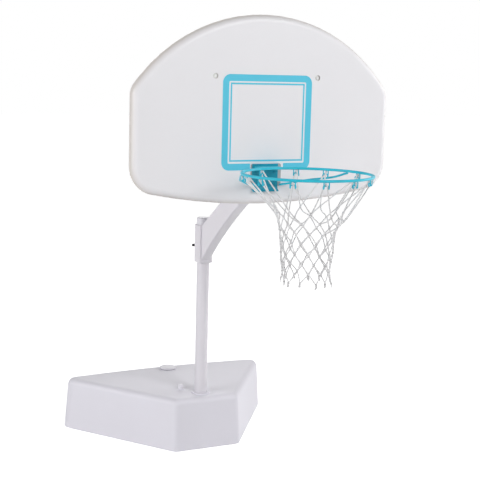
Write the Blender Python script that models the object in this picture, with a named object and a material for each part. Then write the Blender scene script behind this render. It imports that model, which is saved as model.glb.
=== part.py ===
"""Portable pool basketball hoop: ballast tank, pole, sliding arm, backboard, rim and net.

Metres, +Z up. The origin is on the deck, on the pole's axis. The backboard faces -Y,
towards the pool, and +X is to the right of someone who looks along +Y at the board.
"""

import math

import bmesh
import bpy
from mathutils import Vector

# Clearance that every touching piece keeps to its neighbour
GAP = 0.0003
# How far a cutter runs past the face it opens
OVERRUN = 0.004

# Ballast tank
TANK_HEIGHT = 0.223
TANK_FRONT = 0.078
TANK_BACK = 0.438
TANK_BACK_BOW = 0.038
TANK_FRONT_HALF_WIDTH = 0.140
TANK_BACK_HALF_WIDTH = 0.513
TANK_FRONT_CORNER = 0.036
TANK_BACK_CORNER = 0.046
TANK_DRAFT = 0.014
TANK_TOP_FILLET = 0.028
TANK_FOOT_FILLET = 0.007
TANK_CROWN = 0.009
# Shares of the way out to the top's edge, and of the crown's rise reached there
TANK_CROWN_SHARES = (0.78, 0.5, 0.2)
TANK_CROWN_RISE_SHARES = (0.45, 0.85, 1.0)
# Share of the top fillet's run by which the plan's corners tighten
TANK_CORNER_LOSS_SHARE = 0.5
TANK_WALL = 0.006
WATER_DEPTH = 0.165
WATER_CLEARANCE = 0.0006
SOCKET_FLOOR = 0.014
SOCKET_CLEARANCE = 0.0006
SOCKET_WALL = 0.006
SOCKET_CHAMFER = 0.002
SOCKET_LIP_WIDTH = 0.012
SOCKET_LIP_RISE = 0.0025
SEAT_CHAMFER = 0.001

# Fill cap, screwed into a neck near the tank's back edge
CAP_BACK_MARGIN = 0.096
CAP_RADIUS = 0.038
CAP_HEIGHT = 0.0070
CAP_SKIRT_DEPTH = 0.020
CAP_SKIRT_WALL = 0.003
CAP_NECK_RADIUS = 0.030
CAP_NECK_CLEARANCE = 0.0008
CAP_SEAT_RISE = 0.0006
CAP_RIB_COUNT = 24
CAP_RIB_DEPTH = 0.0014
GASKET_THICKNESS = 0.0015
GASKET_WIDTH = 0.005

# Air-vent plug beside the pole
VENT_X = 0.066
VENT_Y = 0.066
VENT_RADIUS = 0.0125
VENT_HEIGHT = 0.019
VENT_STEM_RADIUS = 0.0065
VENT_STEM_DEPTH = 0.012
VENT_STEM_CLEARANCE = 0.0006
VENT_SEAT_RISE = 0.0006
VENT_DOME = 0.003

# Pole and its cap
POLE_DIAMETER = 0.054
POLE_WALL = 0.002
POLE_TOP = 0.984
POLE_CAP_WALL = 0.0024
POLE_CAP_DEPTH = 0.026
POLE_CAP_DOME = 0.004

# Square sleeve that slides on the pole
SLEEVE_WIDTH = 0.060
SLEEVE_WALL = 0.0024
SLEEVE_CORNER = 0.006
SLEEVE_BOTTOM = 0.796
SLEEVE_HEIGHT = 0.160

# Clamp screw with its swivel pad, at the sleeve's back
CLAMP_HEIGHT = 0.861
CLAMP_BOSS_RADIUS = 0.013
CLAMP_BOSS_LENGTH = 0.014
CLAMP_PAD_RADIUS = 0.0075
CLAMP_PAD_THICKNESS = 0.003
CLAMP_PAD_CLEARANCE = 0.0004
CLAMP_TRAVEL = 0.003
CLAMP_THREAD_RADIUS = 0.005
CLAMP_HUB_RADIUS = 0.0075
CLAMP_HUB_LENGTH = 0.016
CLAMP_HUB_STAND_OFF = 0.0035
CLAMP_BAR_RADIUS = 0.0032
CLAMP_BAR_LENGTH = 0.048
CLAMP_TIP_RADIUS = 0.0058
CLAMP_TIP_LENGTH = 0.012
CLAMP_TIP_OVERLAP = 0.008
CLAMP_CHAMFER = 0.0016

# Curved arm, a bent channel with a welded closing strip
ARM_WIDTH = 0.045
ARM_SHEET = 0.0025
ARM_BEND = 0.009
ARM_ROOT_RISE = 0.014
ARM_ROOT_ANGLE = math.radians(45)
ARM_END_ANGLE = math.radians(30)
ARM_END_LOWER = 1.160
ARM_END_UPPER = 1.270
ARM_STATIONS = 14
ARM_STRIP_INSET = 0.003
ARM_BEND_STEPS = 4

# Backboard
BOARD_REACH = 0.5686
BOARD_THICKNESS = 0.060
BOARD_HALF_WIDTH = 0.525
BOARD_TOP = 1.810
BOARD_BOTTOM = 1.111
BOARD_TOP_RADIUS = 0.663
BOARD_SHOULDER_RADIUS = 0.100
BOARD_BOTTOM_RADIUS = 2.10
BOARD_CORNER_RADIUS = 0.105
BOARD_EDGE_RADIUS = 0.029
BOARD_EDGE_STEPS = 4
BOARD_WALL = 0.004
BOARD_POST_RADIUS = 0.017
BOARD_VENT_RADIUS = 0.004
BOARD_VENT_RISE = 0.015

# Upper fixings of the board
UPPER_BOLT_SPACING = 0.4192
UPPER_BOLT_HEIGHT = 1.5823
UPPER_RECESS_RADIUS = 0.0105
UPPER_RECESS_DEPTH = 0.006
UPPER_WASHER_RADIUS = 0.0095
UPPER_WASHER_THICKNESS = 0.0015
UPPER_HEAD_RADIUS = 0.0065
UPPER_HEAD_HEIGHT = 0.0045
UPPER_BOLT_RADIUS = 0.004
NUT_RADIUS = 0.0075
NUT_HEIGHT = 0.0065
BOLT_HOLE_CLEARANCE = 0.0005
BOLT_END_LENGTH = 0.003

# Steelwork behind the board
END_PLATE_WIDTH = 0.130
END_PLATE_BOTTOM = 1.150
END_PLATE_TOP = 1.280
END_PLATE_THICKNESS = 0.005
PLATE_CORNER = 0.008
BRACE_WIDTH = 0.044
BRACE_DEPTH = 0.020
BRACE_SHEET = 0.003
CROSSBAR_OVERHANG = 0.024

# Rim, its bracket and its stays
RIM_DIAMETER = 0.4572
RIM_WIRE_RADIUS = 0.005
RIM_HEIGHT = 1.2536
RIM_STAND_OFF = 0.0832
RIM_SEGMENTS = 60
RIM_WIRE_SIDES = 8
BRACKET_HALF_WIDTH = 0.058
BRACKET_BOTTOM = 1.160
BRACKET_TOP = 1.264
BRACKET_SHEET = 0.003
BRACKET_LIP_RADIUS = 0.020
BRACKET_LIP_ANGLE = math.radians(70)
BACKING_PLATE_MARGIN = 0.0045
BACKING_PLATE_THICKNESS = 0.002
HOOD_HALF_WIDTH = 0.049
HOOD_BEND = 0.006
HOOD_REAR_DEPTH = 0.040
HOOD_FRONT_DEPTH = 0.010
HOOD_STATIONS = 9
# Power of the curve along which the hood's cheeks sweep up to the ring
HOOD_SWEEP_POWER = 1.6
RIM_BOLT_SPACING_X = 0.072
RIM_BOLT_SPACING_Z = 0.046
RIM_BOLT_MIDDLE = 1.213
RIM_BOLT_RADIUS = 0.004
RIM_BOLT_HEAD_RADIUS = 0.0078
RIM_BOLT_HEAD_HEIGHT = 0.0055
# Share of a bolt head's width and height that its top chamfer leaves
HEAD_CHAMFER_SHARE = 0.85
STAY_RADIUS = 0.004
STAY_WELD_ANGLE = math.radians(112)
STAY_LEAD = 0.014
STAY_WELD_LEAD = 0.042
STAY_SPREAD = 0.150
STAY_SAG_HEIGHT = 1.203
STAY_STEPS = 20

# Net hooks under the rim
HOOK_COUNT = 12
HOOK_FIRST_ANGLE = math.radians(15)
HOOK_HALF_WIDTH = 0.0125
HOOK_WIRE_RADIUS = 0.0022
HOOK_DEPTH = 0.024
HOOK_CURL_RADIUS = 0.006
HOOK_BAR_DEPTH = 0.0165
HOOK_BAR_HALF = 0.009
HOOK_CURL_STEPS = 4

# Net: radius and height of each row of knots, from the rim down
NET_CORD_RADIUS = 0.0022
NET_ROW_RADII = (0.124, 0.106, 0.097, 0.093, 0.0905, 0.088, 0.085, 0.088)
NET_FIRST_ROW = 1.100
NET_LAST_ROW = 0.889
NET_TAIL_LENGTH = 0.016
NET_KNOT_REACH = 0.0046
NET_EYE_CLEARANCE = 0.0007
NET_EYE_SIDES = 6
# Fit of the strand's section round a knot, and how far a knot may run along half a strand
STRAND_FIT_SHARE = 1.04
STRAND_KNOT_SHARE = 0.9

# Numbers of flat faces on round pieces
ROUND_STEPS = 32
SEAT_STEPS = 24
SMALL_STEPS = 12
HEX = 6
CORNER_STEPS = 5
FOOT_STEPS = 2
SHARP_ANGLE = math.radians(35)

# Places that follow from the sizes above
POLE_RADIUS = POLE_DIAMETER / 2
SLEEVE_HALF = SLEEVE_WIDTH / 2
SLEEVE_TOP = SLEEVE_BOTTOM + SLEEVE_HEIGHT
BOARD_FACE = -BOARD_REACH
BOARD_REAR = BOARD_FACE + BOARD_THICKNESS
RIM_RADIUS = RIM_DIAMETER / 2
RIM_CENTRE = Vector((0, BOARD_FACE - RIM_STAND_OFF - RIM_RADIUS, RIM_HEIGHT))
SOCKET_RADIUS = POLE_RADIUS + SOCKET_CLEARANCE
FRONT = Vector((0, -1, 0))
BACK = Vector((0, 1, 0))
RIGHT = Vector((1, 0, 0))
UP = Vector((0, 0, 1))

WHITE_PLASTIC = ("white_plastic", (0.80, 0.79, 0.80), 0.45, 0.0)
WHITE_PAINT = ("white_paint", (0.78, 0.77, 0.78), 0.35, 0.0)
TEAL_PAINT = ("teal_paint", (0.03, 0.40, 0.53), 0.30, 0.0)
ZINC = ("zinc", (0.55, 0.55, 0.55), 0.40, 1.0)
RUBBER = ("black_rubber", (0.03, 0.03, 0.03), 0.70, 0.0)
GREY_PLASTIC = ("grey_plastic", (0.45, 0.45, 0.46), 0.50, 0.0)
NET_CORD = ("net_cord", (0.85, 0.85, 0.85), 0.85, 0.0)
WATER = ("water", (0.60, 0.75, 0.80), 0.05, 0.0)


def clear_scene():
    """Remove every object, so that the script builds the same model each time."""
    for existing in list(bpy.data.objects):
        bpy.data.objects.remove(existing, do_unlink=True)


def material(finish):
    """Return the Principled material of a finish, made on first use."""
    name, colour, roughness, metallic = finish
    found = bpy.data.materials.get(name)
    if found:
        return found
    made = bpy.data.materials.new(name)
    made.use_nodes = True
    shader = made.node_tree.nodes["Principled BSDF"]
    shader.inputs["Base Color"].default_value = (*colour, 1)
    shader.inputs["Roughness"].default_value = roughness
    shader.inputs["Metallic"].default_value = metallic
    made.diffuse_color = (*colour, 1)
    return made


def pivot(name, place, parent=None):
    """Add an empty on a joint's axis, for the pieces that move about it."""
    empty = bpy.data.objects.new(name, None)
    bpy.context.collection.objects.link(empty)
    empty.parent = parent
    base = parent.matrix_world.translation if parent else Vector()
    empty.location = Vector(place) - base
    bpy.context.view_layer.update()
    return empty


def add_object(name, data, finish, parent, place=Vector()):
    """Link a mesh or curve as an object under its body's empty, at a world place."""
    made = bpy.data.objects.new(name, data)
    bpy.context.collection.objects.link(made)
    if finish:
        data.materials.append(material(finish))
    made.parent = parent
    made.location = Vector(place) - parent.matrix_world.translation
    return made


def finish_mesh(name, bm, smooth=True):
    """Turn a bmesh into mesh data with outward normals and shading by angle."""
    bmesh.ops.recalc_face_normals(bm, faces=bm.faces)
    data = bpy.data.meshes.new(name)
    bm.to_mesh(data)
    bm.free()
    if smooth:
        data.shade_smooth()
        data.set_sharp_from_angle(angle=SHARP_ANGLE)
    return data


def circle(radius, steps, start=0.0):
    """Points of a circle in a plane, counter-clockwise."""
    turns = [start + 2 * math.pi * i / steps for i in range(steps)]
    return [radius * Vector((math.cos(turn), math.sin(turn))) for turn in turns]


def arc(centre, radius, start, end, steps):
    """Points of an arc in a plane, from one angle to another, both ends included."""
    points = []
    for i in range(steps + 1):
        angle = start + (end - start) * i / steps
        points.append(centre + radius * Vector((math.cos(angle), math.sin(angle))))
    return points


def rounded_rectangle(half_width, half_height, radius, steps=CORNER_STEPS):
    """Outline of a rectangle with round corners, about the origin."""
    x = half_width - radius
    y = half_height - radius
    quarter = math.pi / 2
    corners = ((x, -y, -quarter), (x, y, 0.0), (-x, y, quarter), (-x, -y, 2 * quarter))
    points = []
    for cx, cy, start in corners:
        points += arc(Vector((cx, cy)), radius, start, start + quarter, steps)
    return points


def on_plane(points, origin, across, along):
    """Lift points of a plane into space, on two unit directions from an origin."""
    return [origin + across * p.x + along * p.y for p in points]


def skin(bm, rings, cap_ends=True, close=False):
    """Join rings of equally many points with quads, and cap the two ends."""
    loops = [[bm.verts.new(point) for point in ring] for ring in rings]
    pairs = list(zip(loops, loops[1:]))
    if close:
        pairs.append((loops[-1], loops[0]))
    for lower, upper in pairs:
        for i in range(len(lower)):
            j = (i + 1) % len(lower)
            bm.faces.new((lower[i], lower[j], upper[j], upper[i]))
    if cap_ends and not close:
        bm.faces.new(list(reversed(loops[0])))
        bm.faces.new(loops[-1])
    return loops


def lofted(name, rings, finish, parent, close=False):
    """A closed solid through rings of points."""
    bm = bmesh.new()
    skin(bm, rings, close=close)
    return add_object(name, finish_mesh(name, bm), finish, parent)


def extruded(name, outline, origin, across, along, depth, finish, parent):
    """A plate of any outline, drawn in a plane and extruded square to it."""
    bm = bmesh.new()
    face = bm.faces.new([bm.verts.new(p) for p in on_plane(outline, origin, across, along)])
    pushed = bmesh.ops.extrude_face_region(bm, geom=[face])
    moved = [item for item in pushed["geom"] if isinstance(item, bmesh.types.BMVert)]
    bmesh.ops.translate(bm, verts=moved, vec=across.cross(along) * depth)
    return add_object(name, finish_mesh(name, bm), finish, parent)


def turned(name, profile, place, axis, finish, parent, steps=ROUND_STEPS, ring=False):
    """A turned solid: (radius, height) points spun about an axis from a place.

    A ring's profile is a loop. Any other profile starts and ends on the axis, where a
    flat end is one face and a pointed one is a fan.
    """
    bm = bmesh.new()
    turn = UP.rotation_difference(axis).to_matrix()
    first_flat = not ring and profile[0][1] == profile[1][1]
    last_flat = not ring and profile[-1][1] == profile[-2][1]
    kept = profile[1 if first_flat else 0:-1 if last_flat else None]
    loops = []
    for radius, height in kept:
        if radius == 0:
            loops.append([bm.verts.new(UP * height)])
        else:
            loops.append([bm.verts.new((p.x, p.y, height)) for p in circle(radius, steps)])
    pairs = list(zip(loops, loops[1:]))
    if ring:
        pairs.append((loops[-1], loops[0]))
    for lower, upper in pairs:
        for k in range(steps):
            m = (k + 1) % steps
            corners = [lower[k % len(lower)], lower[m % len(lower)],
                       upper[m % len(upper)], upper[k % len(upper)]]
            bm.faces.new(list(dict.fromkeys(corners)))
    if first_flat:
        bm.faces.new(list(reversed(loops[0])))
    if last_flat:
        bm.faces.new(loops[-1])
    bmesh.ops.transform(bm, matrix=turn.to_4x4(), verts=bm.verts)
    return add_object(name, finish_mesh(name, bm), finish, parent, place)


def rod(name, points, radius, finish, parent, resolution=2):
    """A bent rod: a curve through points, with a round section and closed ends."""
    curve = bpy.data.curves.new(name, "CURVE")
    curve.dimensions = "3D"
    curve.bevel_depth = radius
    curve.bevel_resolution = resolution
    curve.use_fill_caps = True
    spline = curve.splines.new("POLY")
    spline.points.add(len(points) - 1)
    for target, point in zip(spline.points, points):
        target.co = (*point, 1)
    return add_object(name, curve, finish, parent)


def cutter(name, make, *args, **options):
    """A guide solid that only cuts: shown as wire and left out of renders."""
    made = make(name, *args, **options)
    made.hide_render = True
    made.display_type = "WIRE"
    return made


def combine(target, tool, operation="DIFFERENCE"):
    """Cut a guide from a piece, or add it, with a live Boolean modifier."""
    step = target.modifiers.new(tool.name, "BOOLEAN")
    step.operation = operation
    step.solver = "EXACT"
    step.object = tool


def drill(target, name, place, axis, radius, length, parent, steps=SMALL_STEPS):
    """Drill a round hole from a place along an axis, open at the start."""
    profile = [(0, -OVERRUN), (radius, -OVERRUN), (radius, length), (0, length)]
    combine(target, cutter(name, turned, profile, place, axis, None, parent, steps=steps))


# Ballast tank


def tank_plan(inset, tighter):
    """Outline of the tank: narrow at the front, bowed at the back, round at the corners.

    It lies inset from the foot's outline, with corners tighter than the foot's.
    """
    spread = TANK_BACK_HALF_WIDTH - TANK_FRONT_HALF_WIDTH
    side = Vector((spread, TANK_BACK + TANK_FRONT)).normalized()
    outward = Vector((side.y, -side.x))
    corner = Vector((TANK_FRONT_HALF_WIDTH, -TANK_FRONT))
    bow = (TANK_BACK_HALF_WIDTH ** 2 + TANK_BACK_BOW ** 2) / (2 * TANK_BACK_BOW)
    bow_centre = Vector((0, TANK_BACK + TANK_BACK_BOW - bow))
    front_radius = TANK_FRONT_CORNER - tighter
    back_radius = TANK_BACK_CORNER - tighter
    start = corner - outward * (inset + front_radius)
    front_centre = start + side * ((-TANK_FRONT + inset + front_radius - start.y) / side.y)
    start = corner - outward * (inset + back_radius)
    reach = start - bow_centre
    along = reach.dot(side)
    rest = reach.length_squared - (bow - inset - back_radius) ** 2
    back_centre = start + side * (math.sqrt(along ** 2 - rest) - along)
    side_angle = math.atan2(outward.y, outward.x)
    towards = back_centre - bow_centre
    bow_angle = math.atan2(towards.y, towards.x)
    right = arc(front_centre, front_radius, -math.pi / 2, side_angle, CORNER_STEPS)
    right += arc(back_centre, back_radius, side_angle, bow_angle, CORNER_STEPS)
    back = arc(bow_centre, bow - inset, bow_angle, math.pi - bow_angle, 2 * CORNER_STEPS)[1:-1]
    left = [Vector((-p.x, p.y)) for p in reversed(right)]
    return right + back + left


def tank_rings(wall):
    """Rings of the tank's skin, or of its hollow where a wall is taken off all round."""
    height = TANK_HEIGHT - wall
    fillet = TANK_TOP_FILLET - wall
    quarter = math.pi / 2
    rings = []

    def level(inset, z, tighter):
        rings.append([Vector((p.x, p.y, z)) for p in tank_plan(inset + wall, tighter + wall)])

    for i in range(FOOT_STEPS + 1):
        angle = quarter * i / FOOT_STEPS
        inset = TANK_FOOT_FILLET * (1 - math.sin(angle))
        level(inset, wall + TANK_FOOT_FILLET * (1 - math.cos(angle)), 0.0)
    lean = TANK_DRAFT / TANK_HEIGHT
    for i in range(CORNER_STEPS + 1):
        angle = quarter * i / CORNER_STEPS
        z = height - fillet * (1 - math.sin(angle))
        rounding = fillet * (1 - math.cos(angle))
        level(lean * (height - fillet) + rounding, z, rounding * TANK_CORNER_LOSS_SHARE)
    edge = rings[-1]
    middle = sum(edge, Vector()) / len(edge)
    for share, rise_share in zip(TANK_CROWN_SHARES, TANK_CROWN_RISE_SHARES):
        lift = UP * TANK_CROWN * rise_share
        rings.append([middle.lerp(p, share) + lift for p in edge])
    return rings


def tank_top(x, y):
    """Height of the tank's crowned top above the deck at a place in plan."""
    edge = tank_rings(0.0)[-1 - len(TANK_CROWN_SHARES)]
    middle = sum(edge, Vector()) / len(edge)
    place = Vector((x - middle.x, y - middle.y))
    best = 0.0
    for a, b in zip(edge, edge[1:] + edge[:1]):
        p = Vector((a.x - middle.x, a.y - middle.y))
        q = Vector((b.x - middle.x, b.y - middle.y))
        normal = Vector((q.y - p.y, p.x - q.x)).normalized()
        best = max(best, place.dot(normal) / p.dot(normal))
    shares = (1.0, *TANK_CROWN_SHARES)
    rises = (0.0, *TANK_CROWN_RISE_SHARES)
    for outer, inner, low, high in zip(shares, shares[1:], rises, rises[1:]):
        if best >= inner:
            part = (outer - best) / (outer - inner)
            return TANK_HEIGHT + TANK_CROWN * (low + (high - low) * part)
    return TANK_HEIGHT + TANK_CROWN


def seat_top(x, y, radius):
    """Height of the highest point of the tank's top under the rim of a round seat."""
    return max(tank_top(x + p.x, y + p.y) for p in circle(radius, SMALL_STEPS))


def build_tank(base):
    """The moulded tank, hollow, with a pole socket, a fill neck and a vent hole."""
    cap_y = TANK_BACK + TANK_BACK_BOW - CAP_BACK_MARGIN
    seat_radius = CAP_RADIUS + 2 * SEAT_CHAMFER
    vent_radius = VENT_RADIUS + TANK_WALL
    lip_radius = SOCKET_RADIUS + SOCKET_LIP_WIDTH
    cap_seat = seat_top(0, cap_y, seat_radius) + CAP_SEAT_RISE
    vent_seat = seat_top(-VENT_X, VENT_Y, vent_radius) + VENT_SEAT_RISE
    socket_top = seat_top(0, 0, lip_radius) + SOCKET_LIP_RISE

    tank = lofted("base_tank", tank_rings(0.0), WHITE_PLASTIC, base)
    hollow = cutter("tank_hollow", lofted, tank_rings(TANK_WALL), None, base)
    post_radius = SOCKET_RADIUS + SOCKET_WALL
    crown = TANK_HEIGHT + TANK_CROWN
    post = [(0, -OVERRUN), (post_radius, -OVERRUN), (post_radius, crown), (0, crown)]
    combine(hollow, cutter("socket_post", turned, post, Vector(), UP, None, base))
    bottom = TANK_HEIGHT - TANK_WALL - OVERRUN
    for name, x, y, top, radius in (("cap_seat", 0, cap_y, cap_seat, seat_radius),
                                    ("vent_seat", -VENT_X, VENT_Y, vent_seat, vent_radius),
                                    ("socket_lip", 0, 0, socket_top, lip_radius)):
        seat = [(0, bottom), (radius, bottom), (radius, top - SEAT_CHAMFER),
                (radius - SEAT_CHAMFER, top), (0, top)]
        raised = cutter(name, turned, seat, Vector((x, y, 0)), UP, None, base, steps=SEAT_STEPS)
        combine(tank, raised, "UNION")
    combine(tank, hollow)
    mouth = SOCKET_RADIUS + SOCKET_CHAMFER
    open_top = socket_top + OVERRUN
    socket = [(0, SOCKET_FLOOR), (SOCKET_RADIUS, SOCKET_FLOOR),
              (SOCKET_RADIUS, socket_top - SOCKET_CHAMFER), (mouth, socket_top),
              (mouth, open_top), (0, open_top)]
    combine(tank, cutter("pole_socket", turned, socket, Vector(), UP, None, base))
    depth = TANK_WALL + TANK_TOP_FILLET
    drill(tank, "fill_neck", Vector((0, cap_y, cap_seat)), -UP,
          CAP_NECK_RADIUS + CAP_NECK_CLEARANCE, depth, base, SEAT_STEPS)
    drill(tank, "vent_hole", Vector((-VENT_X, VENT_Y, vent_seat)), -UP,
          VENT_STEM_RADIUS + VENT_STEM_CLEARANCE, depth, base)
    return cap_y, cap_seat, vent_seat


def build_water(base):
    """The ballast water: the hollow's shape, up to the fill line, round the socket post."""
    rings = tank_rings(TANK_WALL + WATER_CLEARANCE)
    level = TANK_WALL + WATER_DEPTH
    walls = [ring for ring in rings if ring[0].z < level]
    low, high = walls[-1], next(ring for ring in rings if ring[0].z >= level)
    part = (level - low[0].z) / (high[0].z - low[0].z)
    walls.append([a.lerp(b, part) for a, b in zip(low, high)])
    water = lofted("water_ballast", walls, WATER, base)
    radius = SOCKET_RADIUS + SOCKET_WALL + WATER_CLEARANCE
    top = TANK_HEIGHT + TANK_CROWN
    post = [(0, -OVERRUN), (radius, -OVERRUN), (radius, top), (0, top)]
    combine(water, cutter("water_round_post", turned, post, Vector(), UP, None, base))


def build_fill_cap(seal, cap, cap_y, seat):
    """Screw cap with finger ribs, and the flat gasket that rises with it."""
    inner = CAP_NECK_RADIUS + CAP_NECK_CLEARANCE
    bottom = seat + GAP
    gasket_top = bottom + GASKET_THICKNESS
    centre = Vector((0, cap_y, 0))
    turned("cap_gasket", [(inner, bottom), (inner + GASKET_WIDTH, bottom),
                          (inner + GASKET_WIDTH, gasket_top), (inner, gasket_top)],
           centre, UP, RUBBER, seal, steps=SEAT_STEPS, ring=True)
    base = gasket_top + GAP
    top = base + CAP_HEIGHT
    steps = 2 * CAP_RIB_COUNT

    def ribbed(radius, z):
        points = []
        for i, p in enumerate(circle(radius, steps)):
            depth = CAP_RIB_DEPTH if i % 2 else 0.0
            points.append(centre + Vector((p.x, p.y, 0)) * (1 - depth / radius) + UP * z)
        return points

    def plain(radius, z):
        return [centre + Vector((p.x, p.y, z)) for p in circle(radius, steps)]

    skirt = CAP_NECK_RADIUS
    hollow = skirt - CAP_SKIRT_WALL
    mouth = base - CAP_SKIRT_DEPTH
    rings = [plain(hollow, base), plain(hollow, mouth), plain(skirt, mouth), plain(skirt, base),
             ribbed(CAP_RADIUS, base), ribbed(CAP_RADIUS, top - CAP_RIB_DEPTH),
             plain(CAP_RADIUS - 2 * CAP_RIB_DEPTH, top)]
    lofted("fill_cap", rings, WHITE_PLASTIC, cap)


def build_vent_plug(vent, seat):
    """Push-in plug with a domed grip."""
    bottom = seat + GAP
    top = bottom + VENT_HEIGHT
    dome = VENT_DOME
    tip = seat - VENT_STEM_DEPTH
    profile = [(0, tip), (VENT_STEM_RADIUS - dome / 2, tip), (VENT_STEM_RADIUS, tip + dome),
               (VENT_STEM_RADIUS, bottom), (VENT_RADIUS, bottom),
               (VENT_RADIUS - dome / 2, top - dome), (VENT_RADIUS - dome, top), (0, top)]
    turned("vent_plug", profile, Vector((-VENT_X, VENT_Y, 0)), UP, WHITE_PLASTIC, vent,
           steps=SMALL_STEPS)


# Pole


def build_pole(pole):
    """Round tube that stands in the tank's socket, with a slip-over cap."""
    inner = POLE_RADIUS - POLE_WALL
    foot = SOCKET_FLOOR + GAP
    wall = [(inner, foot), (POLE_RADIUS, foot), (POLE_RADIUS, POLE_TOP), (inner, POLE_TOP)]
    turned("pole", wall, Vector(), UP, WHITE_PAINT, pole, ring=True)
    bore = POLE_RADIUS + GAP
    outer = bore + POLE_CAP_WALL
    lip = POLE_TOP - POLE_CAP_DEPTH
    ceiling = POLE_TOP + GAP
    crown = ceiling + POLE_CAP_WALL
    half = POLE_CAP_DOME / 2
    profile = [(0, ceiling), (bore, ceiling), (bore, lip), (outer, lip), (outer, crown - half),
               (outer - half, crown), (outer - POLE_CAP_DOME, crown + half / 2), (0, crown + half)]
    turned("pole_cap", profile, Vector(), UP, WHITE_PLASTIC, pole)


# Sleeve, clamp and arm


def build_sleeve(head):
    """Square tube round the pole, with a window for the clamp pad in its back."""
    sleeve = extruded("sleeve", rounded_rectangle(SLEEVE_HALF, SLEEVE_HALF, SLEEVE_CORNER),
                      UP * SLEEVE_BOTTOM, RIGHT, BACK, SLEEVE_HEIGHT, WHITE_PAINT, head)
    inner = SLEEVE_HALF - SLEEVE_WALL
    bore = rounded_rectangle(inner, inner, SLEEVE_CORNER - SLEEVE_WALL)
    combine(sleeve, cutter("sleeve_bore", extruded, bore, UP * (SLEEVE_BOTTOM - OVERRUN),
                           RIGHT, BACK, SLEEVE_HEIGHT + 2 * OVERRUN, None, head))
    window = CLAMP_PAD_RADIUS + CLAMP_PAD_CLEARANCE
    drill(sleeve, "sleeve_window", Vector((0, SLEEVE_HALF, CLAMP_HEIGHT)), -BACK, window,
          SLEEVE_WALL + OVERRUN, head)


def build_clamp(head, pad, screw):
    """Threaded boss, pressure pad and cross-bar screw that lock the sleeve."""
    at = Vector((0, 0, CLAMP_HEIGHT))
    foot = SLEEVE_HALF + GAP
    end = foot + CLAMP_BOSS_LENGTH
    window = CLAMP_PAD_RADIUS + CLAMP_PAD_CLEARANCE
    pad_front = POLE_RADIUS + GAP
    pad_back = pad_front + CLAMP_PAD_THICKNESS
    bore = CLAMP_THREAD_RADIUS + GAP
    pocket = pad_back + CLAMP_TRAVEL + CLAMP_PAD_CLEARANCE
    chamfer = CLAMP_CHAMFER
    profile = [(window, foot), (CLAMP_BOSS_RADIUS, foot), (CLAMP_BOSS_RADIUS, end - chamfer),
               (CLAMP_BOSS_RADIUS - chamfer, end), (bore, end), (bore, pocket), (window, pocket)]
    turned("clamp_boss", profile, at, BACK, WHITE_PAINT, head, steps=SMALL_STEPS, ring=True)
    disc = [(0, pad_front), (CLAMP_PAD_RADIUS, pad_front), (CLAMP_PAD_RADIUS, pad_back),
            (0, pad_back)]
    turned("clamp_pad", disc, at, BACK, GREY_PLASTIC, pad, steps=SMALL_STEPS)
    tip = pad_back + GAP
    hub = end + CLAMP_HUB_STAND_OFF
    crown = hub + CLAMP_HUB_LENGTH
    profile = [(0, tip), (CLAMP_THREAD_RADIUS - chamfer / 2, tip),
               (CLAMP_THREAD_RADIUS, tip + chamfer), (CLAMP_THREAD_RADIUS, hub),
               (CLAMP_HUB_RADIUS - chamfer, hub), (CLAMP_HUB_RADIUS, hub + chamfer),
               (CLAMP_HUB_RADIUS, crown - chamfer), (CLAMP_HUB_RADIUS - chamfer, crown), (0, crown)]
    spindle = turned("clamp_screw", profile, at, BACK, ZINC, screw, steps=SMALL_STEPS)
    bar_at = Vector((0, (hub + crown) / 2, CLAMP_HEIGHT))
    hole = CLAMP_HUB_RADIUS + OVERRUN
    drill(spindle, "bar_hole", bar_at - RIGHT * hole, RIGHT, CLAMP_BAR_RADIUS + GAP,
          2 * hole + OVERRUN, screw)
    half = CLAMP_BAR_LENGTH / 2
    bar = [(0, -half), (CLAMP_BAR_RADIUS, -half), (CLAMP_BAR_RADIUS, half), (0, half)]
    turned("clamp_bar", bar, bar_at, RIGHT, ZINC, screw, steps=SMALL_STEPS)
    inner = CLAMP_BAR_RADIUS + GAP
    mouth = half - CLAMP_TIP_OVERLAP
    end = mouth + CLAMP_TIP_LENGTH
    tip = [(0, half + GAP), (inner, half + GAP), (inner, mouth), (CLAMP_TIP_RADIUS, mouth),
           (CLAMP_TIP_RADIUS, end - chamfer), (CLAMP_TIP_RADIUS - chamfer, end), (0, end)]
    for name, way in (("clamp_tip_left", -RIGHT), ("clamp_tip_right", RIGHT)):
        turned(name, tip, bar_at, way, RUBBER, screw, steps=SMALL_STEPS)


def arm_lines():
    """Pairs of lower and upper edge points of the arm, in the YZ plane, root to end."""
    root_y = -(SLEEVE_HALF + GAP)
    end_y = BOARD_REAR + END_PLATE_THICKNESS + 2 * GAP
    low_root = Vector((root_y, SLEEVE_BOTTOM + ARM_ROOT_RISE))
    low_end = Vector((end_y, ARM_END_LOWER))
    high_root = Vector((root_y, SLEEVE_TOP))
    high_end = Vector((end_y, ARM_END_UPPER))
    run = low_root.x - low_end.x
    rise = low_end.y - low_root.y
    steep, flat = math.tan(ARM_ROOT_ANGLE), math.tan(ARM_END_ANGLE)
    knee = (rise - flat * run) / (steep - flat)
    control = Vector((low_root.x - knee, low_root.y + steep * knee))
    pairs = []
    for i in range(ARM_STATIONS + 1):
        t = i / ARM_STATIONS
        low = low_root * (1 - t) ** 2 + control * (2 * t * (1 - t)) + low_end * t ** 2
        pairs.append((low, high_root.lerp(high_end, t)))
    return pairs


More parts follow.
